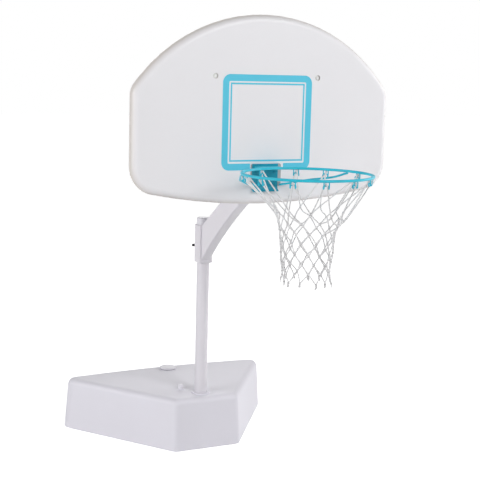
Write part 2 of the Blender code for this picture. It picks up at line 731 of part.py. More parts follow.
def channel_section(half_width, height, bend, sheet):
    """Outline of a bent channel: two walls up from a web, with round bends."""
    quarter = math.pi / 2

    def side(inset, radius):
        x = half_width - bend
        right = arc(Vector((x, bend)), radius, -quarter, 0.0, ARM_BEND_STEPS)
        right.append(Vector((half_width - inset, height)))
        return right

    outer = side(0.0, bend)
    inner = side(sheet, bend - sheet)
    path = [Vector((-p.x, p.y)) for p in reversed(outer)] + outer
    back = list(reversed(inner)) + [Vector((-p.x, p.y)) for p in inner]
    return path + back


def build_arm(head):
    """Channel that curves up from the sleeve to the board, closed by a strip on top."""
    half = ARM_WIDTH / 2
    rings, strips = [], []
    strip_half = half - ARM_SHEET - GAP
    for low, high in arm_lines():
        origin = Vector((0, low.x, low.y))
        up = Vector((0, high.x - low.x, high.y - low.y))
        height = up.length
        up.normalize()
        rings.append(on_plane(channel_section(half, height, ARM_BEND, ARM_SHEET), origin, RIGHT, up))
        top = height - ARM_STRIP_INSET
        edge = [Vector((-strip_half, top - ARM_SHEET)), Vector((strip_half, top - ARM_SHEET)),
                Vector((strip_half, top)), Vector((-strip_half, top))]
        strips.append(on_plane(edge, origin, RIGHT, up))
    lofted("arm_channel", rings, WHITE_PAINT, head)
    lofted("arm_closing_strip", strips, WHITE_PAINT, head)


# Backboard and what fixes it


def board_outline(inset):
    """Half-round topped outline, with round shoulders and corners, in the XZ plane."""
    top_centre = Vector((0, BOARD_TOP - BOARD_TOP_RADIUS))
    reach = BOARD_TOP_RADIUS - BOARD_SHOULDER_RADIUS
    lean = math.asin((BOARD_HALF_WIDTH - BOARD_SHOULDER_RADIUS) / reach)
    shoulder = top_centre + reach * Vector((math.sin(lean), math.cos(lean)))
    bottom_centre = Vector((0, BOARD_BOTTOM + BOARD_BOTTOM_RADIUS))
    reach = BOARD_BOTTOM_RADIUS - BOARD_CORNER_RADIUS
    swing = math.asin((BOARD_HALF_WIDTH - BOARD_CORNER_RADIUS) / reach)
    corner = bottom_centre + reach * Vector((math.sin(swing), -math.cos(swing)))
    quarter = math.pi / 2
    bend = swing - quarter
    right = arc(bottom_centre, BOARD_BOTTOM_RADIUS - inset, -quarter, bend, CORNER_STEPS)[:-1]
    right += arc(corner, BOARD_CORNER_RADIUS - inset, bend, 0.0, 2 * CORNER_STEPS)
    right += arc(shoulder, BOARD_SHOULDER_RADIUS - inset, 0.0, quarter - lean, CORNER_STEPS)[:-1]
    right += arc(top_centre, BOARD_TOP_RADIUS - inset, quarter - lean, quarter, 2 * CORNER_STEPS)
    left = [Vector((-p.x, p.y)) for p in reversed(right[1:-1])]
    return right + left


def board_rings(wall, steps):
    """Rings of the board's rounded edge from front to back, less a wall for its hollow."""
    radius = BOARD_EDGE_RADIUS - wall
    front = BOARD_FACE + BOARD_EDGE_RADIUS
    rear = BOARD_REAR - BOARD_EDGE_RADIUS
    quarter = math.pi / 2
    rings = []
    for middle, start in ((front, -quarter), (rear, 0.0)):
        for i in range(steps + 1):
            angle = start + quarter * i / steps
            inset = wall + radius * (1 - math.cos(angle))
            y = middle + radius * math.sin(angle)
            rings.append([Vector((p.x, y, p.y)) for p in board_outline(inset)])
    return rings


def upper_bolts():
    """Places of the two upper bolts, on the board's face."""
    half = UPPER_BOLT_SPACING / 2
    return {"left": Vector((-half, BOARD_FACE, UPPER_BOLT_HEIGHT)),
            "right": Vector((half, BOARD_FACE, UPPER_BOLT_HEIGHT))}


def rim_bolts():
    """Places of the four rim bolts, on the board's face."""
    places = {}
    for row, dz in (("lower", -RIM_BOLT_SPACING_Z / 2), ("upper", RIM_BOLT_SPACING_Z / 2)):
        for side, dx in (("left", -RIM_BOLT_SPACING_X / 2), ("right", RIM_BOLT_SPACING_X / 2)):
            places[row + "_" + side] = Vector((dx, BOARD_FACE, RIM_BOLT_MIDDLE + dz))
    return places


def build_board(head):
    """Hollow moulded board, with solid posts where the bolts pass through."""
    board = lofted("backboard", board_rings(0.0, BOARD_EDGE_STEPS), WHITE_PLASTIC, head)
    hollow = cutter("board_hollow", lofted, board_rings(BOARD_WALL, 1), None, head)
    through = BOARD_THICKNESS + 2 * OVERRUN
    bolts = [("upper_" + side, place, UPPER_BOLT_RADIUS) for side, place in upper_bolts().items()]
    bolts += [("rim_" + side, place, RIM_BOLT_RADIUS) for side, place in rim_bolts().items()]
    for tag, place, _ in bolts:
        drill(hollow, "post_" + tag, place, BACK, BOARD_POST_RADIUS, through, head)
    combine(board, hollow)
    for tag, place, radius in bolts:
        hole = radius + BOLT_HOLE_CLEARANCE
        drill(board, "hole_" + tag, place, BACK, hole, through, head)
    for side, place in upper_bolts().items():
        drill(board, "recess_" + side, place, BACK, UPPER_RECESS_RADIUS, UPPER_RECESS_DEPTH, head)
    vent = Vector((0, BOARD_REAR, BOARD_BOTTOM + BOARD_EDGE_RADIUS + BOARD_VENT_RISE))
    drill(board, "board_vent", vent, -BACK, BOARD_VENT_RADIUS, 2 * BOARD_WALL, head)


def hexagon(radius):
    """A hexagon that stands on a flat, as a nut's outline."""
    return circle(radius, HEX, math.pi / HEX)


def build_upper_fixings(head):
    """Washer and button-head bolt in each recess, nut inside the crossbar."""
    floor = BOARD_FACE + UPPER_RECESS_DEPTH
    web_back = BOARD_REAR + GAP + BRACE_SHEET
    hole = UPPER_BOLT_RADIUS + GAP
    rest = floor - GAP
    outer = rest - UPPER_WASHER_THICKNESS
    washer = [(hole, outer), (UPPER_WASHER_RADIUS, outer), (UPPER_WASHER_RADIUS, rest), (hole, rest)]
    seat = outer - GAP
    crown = seat - UPPER_HEAD_HEIGHT
    end = web_back + NUT_HEIGHT + BOLT_END_LENGTH
    bolt = [(0, crown), (UPPER_HEAD_RADIUS / 2, crown), (UPPER_HEAD_RADIUS, (seat + crown) / 2),
            (UPPER_HEAD_RADIUS, seat), (UPPER_BOLT_RADIUS, seat), (UPPER_BOLT_RADIUS, end), (0, end)]
    for side, place in upper_bolts().items():
        at = Vector((place.x, 0, place.z))
        turned("upper_washer_" + side, washer, at, BACK, ZINC, head, steps=SMALL_STEPS, ring=True)
        turned("upper_bolt_" + side, bolt, at, BACK, ZINC, head, steps=SMALL_STEPS)
        nut(head, "upper_nut_" + side, at + BACK * (web_back + GAP), UPPER_BOLT_RADIUS)


def nut(head, name, place, bolt_radius):
    """Hexagon nut on a bolt behind the board."""
    made = extruded(name, hexagon(NUT_RADIUS), place, UP, RIGHT, NUT_HEIGHT, ZINC, head)
    drill(made, name + "_bore", place, BACK, bolt_radius + GAP, NUT_HEIGHT + OVERRUN, head)


def build_rear_steelwork(head):
    """End plate of the arm, with an upright and a crossbar that hold the board's top."""
    face = BOARD_REAR + GAP
    middle = (END_PLATE_TOP + END_PLATE_BOTTOM) / 2
    outline = rounded_rectangle(END_PLATE_TOP - middle, END_PLATE_WIDTH / 2, PLATE_CORNER)
    plate = extruded("arm_end_plate", outline, Vector((0, face, middle)), UP, RIGHT,
                     END_PLATE_THICKNESS, WHITE_PAINT, head)
    for side, place in rim_bolts().items():
        drill(plate, "plate_hole_" + side, Vector((place.x, face, place.z)), BACK,
              RIM_BOLT_RADIUS + BOLT_HOLE_CLEARANCE, END_PLATE_THICKNESS + OVERRUN, head)
    half = BRACE_WIDTH / 2
    section = channel_section(half, BRACE_DEPTH, 2 * BRACE_SHEET, BRACE_SHEET)
    crossbar_bottom = UPPER_BOLT_HEIGHT - half
    foot, top = END_PLATE_TOP + GAP, crossbar_bottom - GAP
    ends = [on_plane(section, Vector((0, face, z)), RIGHT, BACK) for z in (foot, top)]
    lofted("brace_upright", ends, WHITE_PAINT, head)
    reach = UPPER_BOLT_SPACING / 2 + CROSSBAR_OVERHANG
    ends = [on_plane(section, Vector((x, face, UPPER_BOLT_HEIGHT)), UP, BACK)
            for x in (-reach, reach)]
    crossbar = lofted("brace_crossbar", ends, WHITE_PAINT, head)
    for side, place in upper_bolts().items():
        drill(crossbar, "crossbar_hole_" + side, Vector((place.x, face, place.z)), BACK,
              UPPER_BOLT_RADIUS + BOLT_HOLE_CLEARANCE, BRACE_SHEET + OVERRUN, head)


# Rim


def bracket_profile(rear):
    """Side view of the back plate: upright, with a lower lip that curls to the front."""
    centre = Vector((rear - BRACKET_LIP_RADIUS, BRACKET_BOTTOM + BRACKET_LIP_RADIUS))
    outer = arc(centre, BRACKET_LIP_RADIUS, 0.0, -BRACKET_LIP_ANGLE, CORNER_STEPS)
    inner = arc(centre, BRACKET_LIP_RADIUS - BRACKET_SHEET, -BRACKET_LIP_ANGLE, 0.0, CORNER_STEPS)
    top = [Vector((rear - BRACKET_SHEET, BRACKET_TOP)), Vector((rear, BRACKET_TOP))]
    return top + outer + inner


def build_bracket(head):
    """Backing plate, curled back plate and hood that carry the ring, with their bolts."""
    middle = (BRACKET_TOP + BRACKET_BOTTOM + BRACKET_LIP_RADIUS) / 2
    half_height = (BRACKET_TOP - BRACKET_BOTTOM - BRACKET_LIP_RADIUS) / 2
    backing_face = BOARD_FACE - GAP
    half_width = BRACKET_HALF_WIDTH + BACKING_PLATE_MARGIN
    outline = rounded_rectangle(half_width, half_height, PLATE_CORNER)
    backing = extruded("bracket_backing_plate", outline, Vector((0, backing_face, middle)),
                       RIGHT, UP, BACKING_PLATE_THICKNESS, GREY_PLASTIC, head)
    rear = backing_face - BACKING_PLATE_THICKNESS - GAP
    profile = bracket_profile(rear)
    ends = [on_plane(profile, RIGHT * x, BACK, UP)
            for x in (-BRACKET_HALF_WIDTH, BRACKET_HALF_WIDTH)]
    plate = lofted("bracket_back_plate", ends, TEAL_PAINT, head)
    front = rear - BRACKET_SHEET
    for side, place in rim_bolts().items():
        for owner in (backing, plate):
            drill(owner, owner.name + "_hole_" + side, Vector((place.x, front, place.z)), BACK,
                  RIM_BOLT_RADIUS + BOLT_HOLE_CLEARANCE, BOARD_FACE - front + OVERRUN, head)
    build_hood(head, front - GAP)
    build_rim_bolts(head, front - GAP)
    return front


def build_hood(head, rear):
    """Bent sheet from the back plate to the ring: a flat top and two short cheeks."""
    tip = RIM_CENTRE.y + RIM_RADIUS - 2 * RIM_WIRE_RADIUS
    top = RIM_HEIGHT + BRACKET_SHEET / 2
    rings = []
    for i in range(HOOD_STATIONS + 1):
        t = i / HOOD_STATIONS
        depth = HOOD_FRONT_DEPTH + (HOOD_REAR_DEPTH - HOOD_FRONT_DEPTH) * (1 - t) ** HOOD_SWEEP_POWER
        section = channel_section(HOOD_HALF_WIDTH, depth, HOOD_BEND, BRACKET_SHEET)
        rings.append(on_plane(section, Vector((0, rear + (tip - rear) * t, top)), RIGHT, -UP))
    hood = lofted("bracket_hood", rings, TEAL_PAINT, head)
    reach = RIM_RADIUS + RIM_WIRE_RADIUS + GAP
    high = 2 * HOOD_FRONT_DEPTH
    combine(hood, cutter("ring_clearance", turned, [(0, -high), (reach, -high), (reach, high), (0, high)],
                         RIM_CENTRE, UP, None, head, steps=2 * RIM_SEGMENTS))


def build_rim_bolts(head, head_seat):
    """Hexagon-head bolts through bracket, board and end plate, with their nuts."""
    plate_back = BOARD_REAR + GAP + END_PLATE_THICKNESS
    end = plate_back + NUT_HEIGHT + BOLT_END_LENGTH
    crown = head_seat - RIM_BOLT_HEAD_HEIGHT
    edge = head_seat - RIM_BOLT_HEAD_HEIGHT * HEAD_CHAMFER_SHARE
    sections = ((RIM_BOLT_HEAD_RADIUS * HEAD_CHAMFER_SHARE, crown), (RIM_BOLT_HEAD_RADIUS, edge),
                (RIM_BOLT_HEAD_RADIUS, head_seat), (RIM_BOLT_RADIUS, head_seat),
                (RIM_BOLT_RADIUS, end))
    for side, place in rim_bolts().items():
        rings = [on_plane(circle(radius, HEX), Vector((place.x, y, place.z)), UP, RIGHT)
                 for radius, y in sections]
        lofted("rim_bolt_" + side, rings, ZINC, head)
        behind = Vector((place.x, plate_back + GAP, place.z))
        nut(head, "rim_nut_" + side, behind, RIM_BOLT_RADIUS)


def rim_frame(angle):
    """Outward and sideways unit directions on the ring, from the front's angle."""
    outward = Vector((math.sin(angle), -math.cos(angle), 0))
    return outward, UP.cross(outward)


def build_ring(head):
    """The round rod of the rim, bent to a full circle."""
    rings = []
    for i in range(RIM_SEGMENTS):
        outward, _ = rim_frame(2 * math.pi * i / RIM_SEGMENTS)
        centre = RIM_CENTRE + outward * RIM_RADIUS
        rings.append(on_plane(circle(RIM_WIRE_RADIUS, RIM_WIRE_SIDES), centre, outward, UP))
    lofted("rim_ring", rings, TEAL_PAINT, head, close=True)


def build_stays(head, plate_front):
    """Two bent rods from the bracket's foot round to the underside of the ring."""
    weld_out, _ = rim_frame(STAY_WELD_ANGLE)
    drop = RIM_WIRE_RADIUS + STAY_RADIUS + GAP
    weld = RIM_CENTRE + weld_out * RIM_RADIUS - UP * drop
    height = BRACKET_BOTTOM + BRACKET_LIP_RADIUS + STAY_RADIUS + GAP
    start = Vector((HOOD_HALF_WIDTH + GAP + STAY_RADIUS, plate_front - GAP, height))
    lead = start + FRONT * STAY_LEAD
    knee = Vector((STAY_SPREAD, lead.y - STAY_LEAD, STAY_SAG_HEIGHT))
    along = weld_out.cross(UP)
    approach = weld + along * STAY_WELD_LEAD - UP * STAY_RADIUS
    for side, mirror in (("left", -1), ("right", 1)):
        points = [start]
        for i in range(STAY_STEPS + 1):
            t = i / STAY_STEPS
            u = 1 - t
            p = lead * u ** 3 + knee * (3 * t * u ** 2) + approach * (3 * t ** 2 * u) + weld * t ** 3
            points.append(p)
        points = [Vector((mirror * p.x, p.y, p.z)) for p in points]
        rod("rim_stay_" + side, points, STAY_RADIUS, TEAL_PAINT, head)


def hook_path(angle):
    """Wire of one net hook: two legs that curl inward and meet in a cross bar."""
    outward, sideways = rim_frame(angle)
    top = RIM_CENTRE + outward * RIM_RADIUS - UP * (RIM_WIRE_RADIUS + GAP)
    curl = HOOK_CURL_RADIUS
    leg = HOOK_DEPTH - curl
    side = [(HOOK_HALF_WIDTH, 0.0, 0.0), (HOOK_HALF_WIDTH, 0.0, leg)]
    for i in range(1, HOOK_CURL_STEPS + 1):
        turn = math.pi * i / HOOK_CURL_STEPS
        side.append((HOOK_HALF_WIDTH, curl * (1 - math.cos(turn)), leg + curl * math.sin(turn)))
    side.append((HOOK_BAR_HALF, 2 * curl, HOOK_BAR_DEPTH - RIM_WIRE_RADIUS))
    path = [(-t, inward, down) for t, inward, down in side] + list(reversed(side))
    return [top + sideways * t - outward * inward - UP * down for t, inward, down in path]


def hook_angles():
    """Angles of the hooks round the ring, from the front."""
    return [HOOK_FIRST_ANGLE + 2 * math.pi * i / HOOK_COUNT for i in range(HOOK_COUNT)]


def build_hooks(head):
    """One bent wire hook under the ring for each loop of the net."""
    for i, angle in enumerate(hook_angles()):
        name = "net_hook_%02d" % (i + 1)
        rod(name, hook_path(angle), HOOK_WIRE_RADIUS, TEAL_PAINT, head, resolution=0)


# Net


def net_graph():
    """Knots, eyes and tails of the net, and the strands between them."""
    knots, strands = [], []
    count = HOOK_COUNT
    pitch = 2 * math.pi / count

    def add(point):
        knots.append(point)
        return len(knots) - 1

    eye_radius = HOOK_WIRE_RADIUS + NET_EYE_CLEARANCE + NET_CORD_RADIUS
    eye_radius /= math.cos(math.pi / NET_EYE_SIDES)
    rows = len(NET_ROW_RADII)
    lowest = []
    for angle in hook_angles():
        outward, _ = rim_frame(angle)
        bar = RIM_CENTRE + outward * (RIM_RADIUS - 2 * HOOK_CURL_RADIUS) - UP * (HOOK_BAR_DEPTH + GAP)
        row_point = RIM_CENTRE + outward * NET_ROW_RADII[0]
        down = Vector((row_point.x - bar.x, row_point.y - bar.y, NET_FIRST_ROW - bar.z)).normalized()
        side = UP.cross(outward).cross(down).normalized()
        ring = []
        for k in range(NET_EYE_SIDES):
            turn = 2 * math.pi * k / NET_EYE_SIDES
            ring.append(add(bar + (down * math.cos(turn) + side * math.sin(turn)) * eye_radius))
        strands.extend((ring[k], ring[(k + 1) % NET_EYE_SIDES]) for k in range(NET_EYE_SIDES))
        lowest.append(ring[0])
    above = lowest
    for row, radius in enumerate(NET_ROW_RADII):
        drop = (NET_FIRST_ROW - NET_LAST_ROW) * row / (rows - 1)
        shift = pitch / 2 if row % 2 == 0 else 0.0
        here = []
        for angle in hook_angles():
            outward, _ = rim_frame(angle + shift)
            axis = Vector((RIM_CENTRE.x, RIM_CENTRE.y, NET_FIRST_ROW - drop))
            here.append(add(axis + outward * radius))
        for i in range(count):
            other = (i - 1) % count if row % 2 == 0 else (i + 1) % count
            strands.append((above[i], here[i]))
            strands.append((above[i], here[other]))
        above = here
    for i in above:
        strands.append((i, add(knots[i] - UP * NET_TAIL_LENGTH)))
    return knots, strands


def strand_ring(point, direction, radius):
    """Square section of a strand, with one diagonal kept level."""
    level = UP.cross(direction)
    if level.length < GAP:
        level = RIGHT.copy()
    level.normalize()
    other = direction.cross(level)
    return [point + way * radius for way in (level, other, -level, -other)]


def build_net(head):
    """One closed body of cord: square strands that meet in solid knots."""
    knots, strands = net_graph()
    meets = {i: [] for i in range(len(knots))}
    for number, (a, b) in enumerate(strands):
        meets[a].append((number, (knots[b] - knots[a]).normalized()))
        meets[b].append((number, (knots[a] - knots[b]).normalized()))
    bm = bmesh.new()
    ends = {}
    for i, ways in meets.items():
        rings = []
        for number, way in ways:
            if len(ways) == 1:
                reach = 0.0
            else:
                tight = min(way.angle(other) for n, other in ways if n != number)
                reach = NET_CORD_RADIUS / math.tan(tight / 2) * STRAND_FIT_SHARE
                if len(ways) > 2:
                    longest = (knots[strands[number][0]] - knots[strands[number][1]]).length / 2
                    reach = max(reach, min(NET_KNOT_REACH, longest * STRAND_KNOT_SHARE))
            ring = [bm.verts.new(p) for p in strand_ring(knots[i] + way * reach, way, NET_CORD_RADIUS)]
            ends[(number, i)] = ring
            rings.append(ring)
        if len(rings) == 1:
            bm.faces.new(rings[0])
            continue
        before = set(bm.faces)
        bmesh.ops.convex_hull(bm, input=[v for ring in rings for v in ring], use_existing_faces=False)
        caps = [set(ring) for ring in rings]
        flat = [f for f in bm.faces if f not in before and any(set(f.verts) <= cap for cap in caps)]
        bmesh.ops.delete(bm, geom=flat, context="FACES_ONLY")
    for number, (a, b) in enumerate(strands):
        near, far = ends[(number, a)], ends[(number, b)]
        join_rings(bm, near, far)
    bmesh.ops.delete(bm, geom=[e for e in bm.edges if not e.link_faces], context="EDGES")
    data = finish_mesh("net", bm, smooth=False)
    add_object("net", data, NET_CORD, head)


def join_rings(bm, near, far):
    """Bridge the two ends of one strand, corner to nearest corner."""
    count = len(near)
    best = None
    for flip in (1, -1):
        for start in range(count):
            order = [far[(start + flip * k) % count] for k in range(count)]
            total = sum((a.co - b.co).length for a, b in zip(near, order))
            if best is None or total < best[0]:
                best = (total, order)
    order = best[1]
    for k in range(count):
        m = (k + 1) % count
        bm.faces.new((near[k], near[m], order[m], order[k]))


def build():
    """Build every piece under the empty of the body it moves with."""
    clear_scene()
    base = pivot("base_body", Vector())
    pole = pivot("pole_body", Vector((0, 0, SOCKET_FLOOR)), base)
    head = pivot("head_body", Vector((0, 0, SLEEVE_BOTTOM)), pole)
    pad = pivot("clamp_pad_body", Vector((0, POLE_RADIUS, CLAMP_HEIGHT)), head)
    screw = pivot("clamp_screw_body", Vector((0, POLE_RADIUS, CLAMP_HEIGHT)), pad)
    cap_y, cap_seat, vent_seat = build_tank(base)
    seal = pivot("cap_seal_body", Vector((0, cap_y, cap_seat)), base)
    cap = pivot("fill_cap_body", Vector((0, cap_y, cap_seat)), seal)
    vent = pivot("vent_plug_body", Vector((-VENT_X, VENT_Y, vent_seat)), base)
    build_water(base)
    build_fill_cap(seal, cap, cap_y, cap_seat)
    build_vent_plug(vent, vent_seat)
    build_pole(pole)
    build_sleeve(head)
    build_clamp(head, pad, screw)
    build_arm(head)
    build_board(head)
    build_upper_fixings(head)
    build_rear_steelwork(head)
    plate_front = build_bracket(head)
    build_ring(head)
    build_stays(head, plate_front)
    build_hooks(head)
    build_net(head)


build()
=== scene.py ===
"""Looks of a portable pool basketball hoop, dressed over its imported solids.

Metres, +Z up. The board faces -Y, and the deck lies at zero height.
"""
import math
import random

import bmesh
import bpy
from mathutils import Matrix, Vector


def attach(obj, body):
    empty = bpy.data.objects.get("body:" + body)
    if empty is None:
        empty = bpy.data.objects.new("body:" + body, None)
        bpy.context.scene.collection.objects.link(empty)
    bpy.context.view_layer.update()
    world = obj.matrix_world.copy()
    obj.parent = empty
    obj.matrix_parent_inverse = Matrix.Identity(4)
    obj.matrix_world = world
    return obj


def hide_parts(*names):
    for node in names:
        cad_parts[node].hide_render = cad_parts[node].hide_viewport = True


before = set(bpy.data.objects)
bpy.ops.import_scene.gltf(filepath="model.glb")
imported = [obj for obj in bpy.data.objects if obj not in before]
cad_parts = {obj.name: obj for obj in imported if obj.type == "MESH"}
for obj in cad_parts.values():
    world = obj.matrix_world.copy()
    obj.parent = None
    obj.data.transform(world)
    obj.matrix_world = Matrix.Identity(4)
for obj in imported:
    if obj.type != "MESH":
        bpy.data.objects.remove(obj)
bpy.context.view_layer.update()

# The photograph's camera; angles in radians, lens and sensor in millimetres
CAMERA_PLACE = Vector((-1.8568, -4.2075, 1.6136))
CAMERA_YAW = 0.4491
CAMERA_PITCH = -0.1553
CAMERA_ROLL = 0.0254
CAMERA_LENS = 82.58
CAMERA_SENSOR = 36
CAMERA_REACH = 200

# Merging and softening of the solids carried over
MERGE_DISTANCE = 0.00002
FLAT_ANGLE = math.radians(0.4)
SHARP_ANGLE = math.radians(32)
EDGE_STEPS = 2

# Rods and cords
ROD_MERGE_DISTANCE = 0.000005
ROD_SMOOTH_ANGLE = math.radians(50)

# Rim: the ring with the butt weld at its back, and a stay's way from the bracket round to the ring
RING_CENTRE = Vector((0.0, -0.8804, 1.2536))
RING_RADIUS = 0.2286
RING_WIRE = 0.005
WELD_HALF_WIDTH = 0.0045
WELD_RISE = 0.0007
STAY_WIRE = 0.004
STAY_BENDS = ((0.0533, -0.5742, 1.1850), (0.0533, -0.5830, 1.1868), (0.077, -0.590, 1.1905),
              (0.100, -0.603, 1.1962), (0.122, -0.625, 1.2035), (0.141, -0.650, 1.2098),
              (0.159, -0.677, 1.2150), (0.175, -0.706, 1.2200), (0.188, -0.734, 1.2262),
              (0.199, -0.759, 1.2340), (0.207, -0.779, 1.2418), (0.2115, -0.797, 1.2462))

# Net hooks: wire, half width and depth inwards. The root is measured down from the ring's middle,
# and the legs' points, the bar and the foot are measured down from the root
HOOK_WIRE = 0.0021
HOOK_HALF = 0.0092
HOOK_DEPTH = 0.0066
HOOK_ROOT = 0.0022
HOOK_LEG = (0.003, 0.012)
HOOK_BAR = 0.0137
HOOK_FOOT = 0.0235
HOOK_CURL_STEPS = 6
# Bend from leg to bar, each point in from the leg and down from the bar, and half the length of
# the bar's straight part
HOOK_BEND = ((0.0009, 0.0014), (0.0030, 0.0002))
HOOK_STRAIGHT = 0.0025
HOOK_ANGLES = [math.radians(turn) for turn in
               (15.5, 42, 70, 98.5, 134, 161.5, 197, 226, 257, 288, 319, 347)]

# Backboard's front face, and the shooter's square printed on it
BOARD_FACE = -0.5686
PRINT_THICKNESS = 0.00025
PRINT_LIFT = 0.00005
SQUARE_MIDDLE = -0.0036
BAND_HALF_WIDTH = 0.1831
BAND_BOTTOM = 1.2402
BAND_TOP = 1.5900
BAND_WIDTH = 0.025
BAND_CORNER = 0.030
BAND_GAP = (-0.0697, 0.0672)
LINE_HALF_WIDTH = 0.1520
LINE_BOTTOM = 1.2726
LINE_TOP = 1.5595
LINE_WIDTH = 0.006

# Backboard as its solid is drawn, and as photographed, about the height of its outline's middle
BOARD_MIDDLE = 1.46
BOARD_SIZES_DRAWN = dict(half_width=0.525, top=1.810, bottom=1.111, arch=0.663, shoulder=0.100,
                         sag=2.10, corner=0.105)
BOARD_SIZES_SEEN = dict(half_width=0.5272, top=1.8074, bottom=1.1115, arch=0.6391,
                        shoulder=0.0828, sag=2.2734, corner=0.1047)

# How far the board stands to one side, how far its outline comes back from that, and the bracket
BOARD_SHIFT = -0.0065
BOARD_RIM_SHIFT = 0.0034
BRACKET_SHIFT = -0.0045

# Shares of the way from middle to outline between which a moulding's change sets in, and the slack
# allowed where two of an outline's edges meet
BOARD_EASED = (0.66, 0.97)
TANK_EASED = (0.80, 0.96)
OUTLINE_SLACK = 0.0001

# Bracket: how far the back plate's right edge is drawn in, and between which places across it,
# then the hood's top, and the share of their drop below it that its cheeks keep past a short fade
PLATE_DRAWN_IN = 0.010
PLATE_EASED = (0.046, 0.058)
HOOD_TOP = 1.2551
HOOD_CHEEK_SHARE = 0.36
HOOD_FADE = 0.004

# Tank: the radius at its foot and a middle on its length, then the tank as its solid is drawn, and
# as photographed. A loss is how fast a corner tightens, as the wall draws in and as the top edge
# rounds over
TANK_FOOT = 0.007
TANK_MIDDLE = 0.20
TANK_DRAWN = dict(height=0.223, front=0.078, back=0.438, bow=0.038, front_half=0.140,
                  back_half=0.513, front_corner=0.036, back_corner=0.046, draft=0.014,
                  fillet=0.028, front_loss=(0.0, 0.5), back_loss=(0.0, 0.5))
TANK_SEEN = dict(height=0.225, front=0.087, back=0.442, bow=0.034, front_half=0.150,
                 back_half=0.518, front_corner=0.030, back_corner=0.046, draft=0.0155,
                 fillet=0.028, front_loss=(0.6, 0.6), back_loss=(0.9, 0.9))
# Fittings on the tank that keep their place: middle, and the radii between which the change
# sets in round them
TANK_FITTINGS = ((0.0, 0.0, 0.042, 0.085), (0.0, 0.380, 0.045, 0.070),
                 (-0.066, 0.066, 0.022, 0.050))

# Net: height and radius of each row of knots
NET_ROWS = ((1.128, 0.124), (1.093, 0.106), (1.058, 0.097), (1.0235, 0.093),
            (0.985, 0.0905), (0.9537, 0.088), (0.9185, 0.085), (0.884, 0.088))
NET_TWIST = math.radians(9)
NET_CORD = 0.0026
KNOTS_ROUND = 12
KNOT_PITCH = 360 / KNOTS_ROUND
NET_SEED = 7
# The way the net is pushed over, how far, and how much further each row flares on that side
NET_LEAN = Vector((0.900, -0.434, 0.0))
NET_SHIFT = 0.006
NET_FLARE = (0.012, 0.013, 0.007, 0.003, 0.0, 0.0, 0.0, 0.0)
# Scatter of a knot: degrees round, metres up and metres out
TURN_SCATTER = (-3, 3)
HEIGHT_SCATTER = (-0.005, 0.004)
OUT_SCATTER = (-0.003, 0.003)
# Loose ends: length, its scatter, and how far they follow the strand's own way
NET_TAIL = 0.016
TAIL_SCATTER = (0.7, 1.1)
TAIL_SWAY = 0.5
TAIL_SEED = 40
# A cord over its hook: gap above the bar, drop and spread of its two sides
LOOP_GAP = 0.0002
LOOP_DROP = 0.002
LOOP_SPREAD = 0.003
# Turns of cord round a knot
BIGHT_RADIUS = 0.0033
BIGHT_CORD = 0.0018
BIGHT_LEAN = 0.7

UP = Vector((0, 0, 1))


# Small helpers for working as by hand


def deselect():
    """Leave nothing selected and nothing active."""
    bpy.ops.object.select_all(action="DESELECT")
    bpy.context.view_layer.objects.active = None


def pick(*objects):
    """Select only these objects, and make the first one active."""
    deselect()
    for obj in objects:
        obj.select_set(True)
    bpy.context.view_layer.objects.active = objects[0]
    return objects[0]


def edit(obj, everything=True):
    """Open an object in edit mode, with all of it or nothing selected."""
    pick(obj)
    bpy.ops.object.mode_set(mode="EDIT")
    bpy.ops.mesh.select_all(action="SELECT" if everything else "DESELECT")


def leave_edit():
    """Go back to object mode."""
    bpy.ops.object.mode_set(mode="OBJECT")


def select_faces(obj, test):
    """In edit mode, select only the faces that a test on centre and normal accepts."""
    bpy.ops.mesh.select_mode(type="FACE")
    bpy.ops.mesh.select_all(action="DESELECT")
    bm = bmesh.from_edit_mesh(obj.data)
    for face in bm.faces:
        face.select_set(test(face.calc_center_median(), face.normal))
    bmesh.update_edit_mesh(obj.data)


def apply_modifier(obj, kind, **settings):
    """Add a modifier, set it and apply it."""
    pick(obj)
    made = obj.modifiers.new(kind, kind)
    for key, value in settings.items():
        setattr(made, key, value)
    bpy.ops.object.modifier_apply(modifier=made.name)


def settle(obj, name, body, finish, slot, *nodes):
    """Finish a piece: place in its mesh, name, material, body and the nodes it stands for."""
    pick(obj)
    bpy.ops.object.transform_apply(location=True, rotation=True, scale=True)
    obj.name = name
    obj.data.name = name
    obj.data.materials.clear()
    obj.data.materials.append(finish)
    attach(obj, body)
    if nodes:
        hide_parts(*nodes)
    return obj


def joined(pieces):
    """Join several objects into the first one."""
    pick(*pieces)
    bpy.ops.object.join()
    return bpy.context.object


def copied(obj, matrix):
    """A copy with its own mesh, moved by a matrix."""
    made = obj.copy()
    made.data = obj.data.copy()
    bpy.context.collection.objects.link(made)
    made.data.transform(matrix)
    return made


# Shader node groups and materials


def new_group(name, inputs, outputs):
    """Start a shader node group with named sockets: (name, type, default)."""
    tree = bpy.data.node_groups.new(name, "ShaderNodeTree")
    for label, kind, default in inputs:
        socket = tree.interface.new_socket(name=label, in_out="INPUT", socket_type=kind)
        socket.default_value = default
    for label, kind in outputs:
        tree.interface.new_socket(name=label, in_out="OUTPUT", socket_type=kind)
    entry = tree.nodes.new("NodeGroupInput")
    leave = tree.nodes.new("NodeGroupOutput")
    return tree, entry.outputs, leave.inputs


def put(tree, kind, values=None, links=None, **settings):
    """Add a node with settings, socket values and incoming links."""
    made = tree.nodes.new(kind)
    for key, value in settings.items():
        setattr(made, key, value)
    for key, value in (values or {}).items():
        made.inputs[key].default_value = value
    for key, source in (links or {}).items():
        tree.links.new(source, made.inputs[key])
    return made


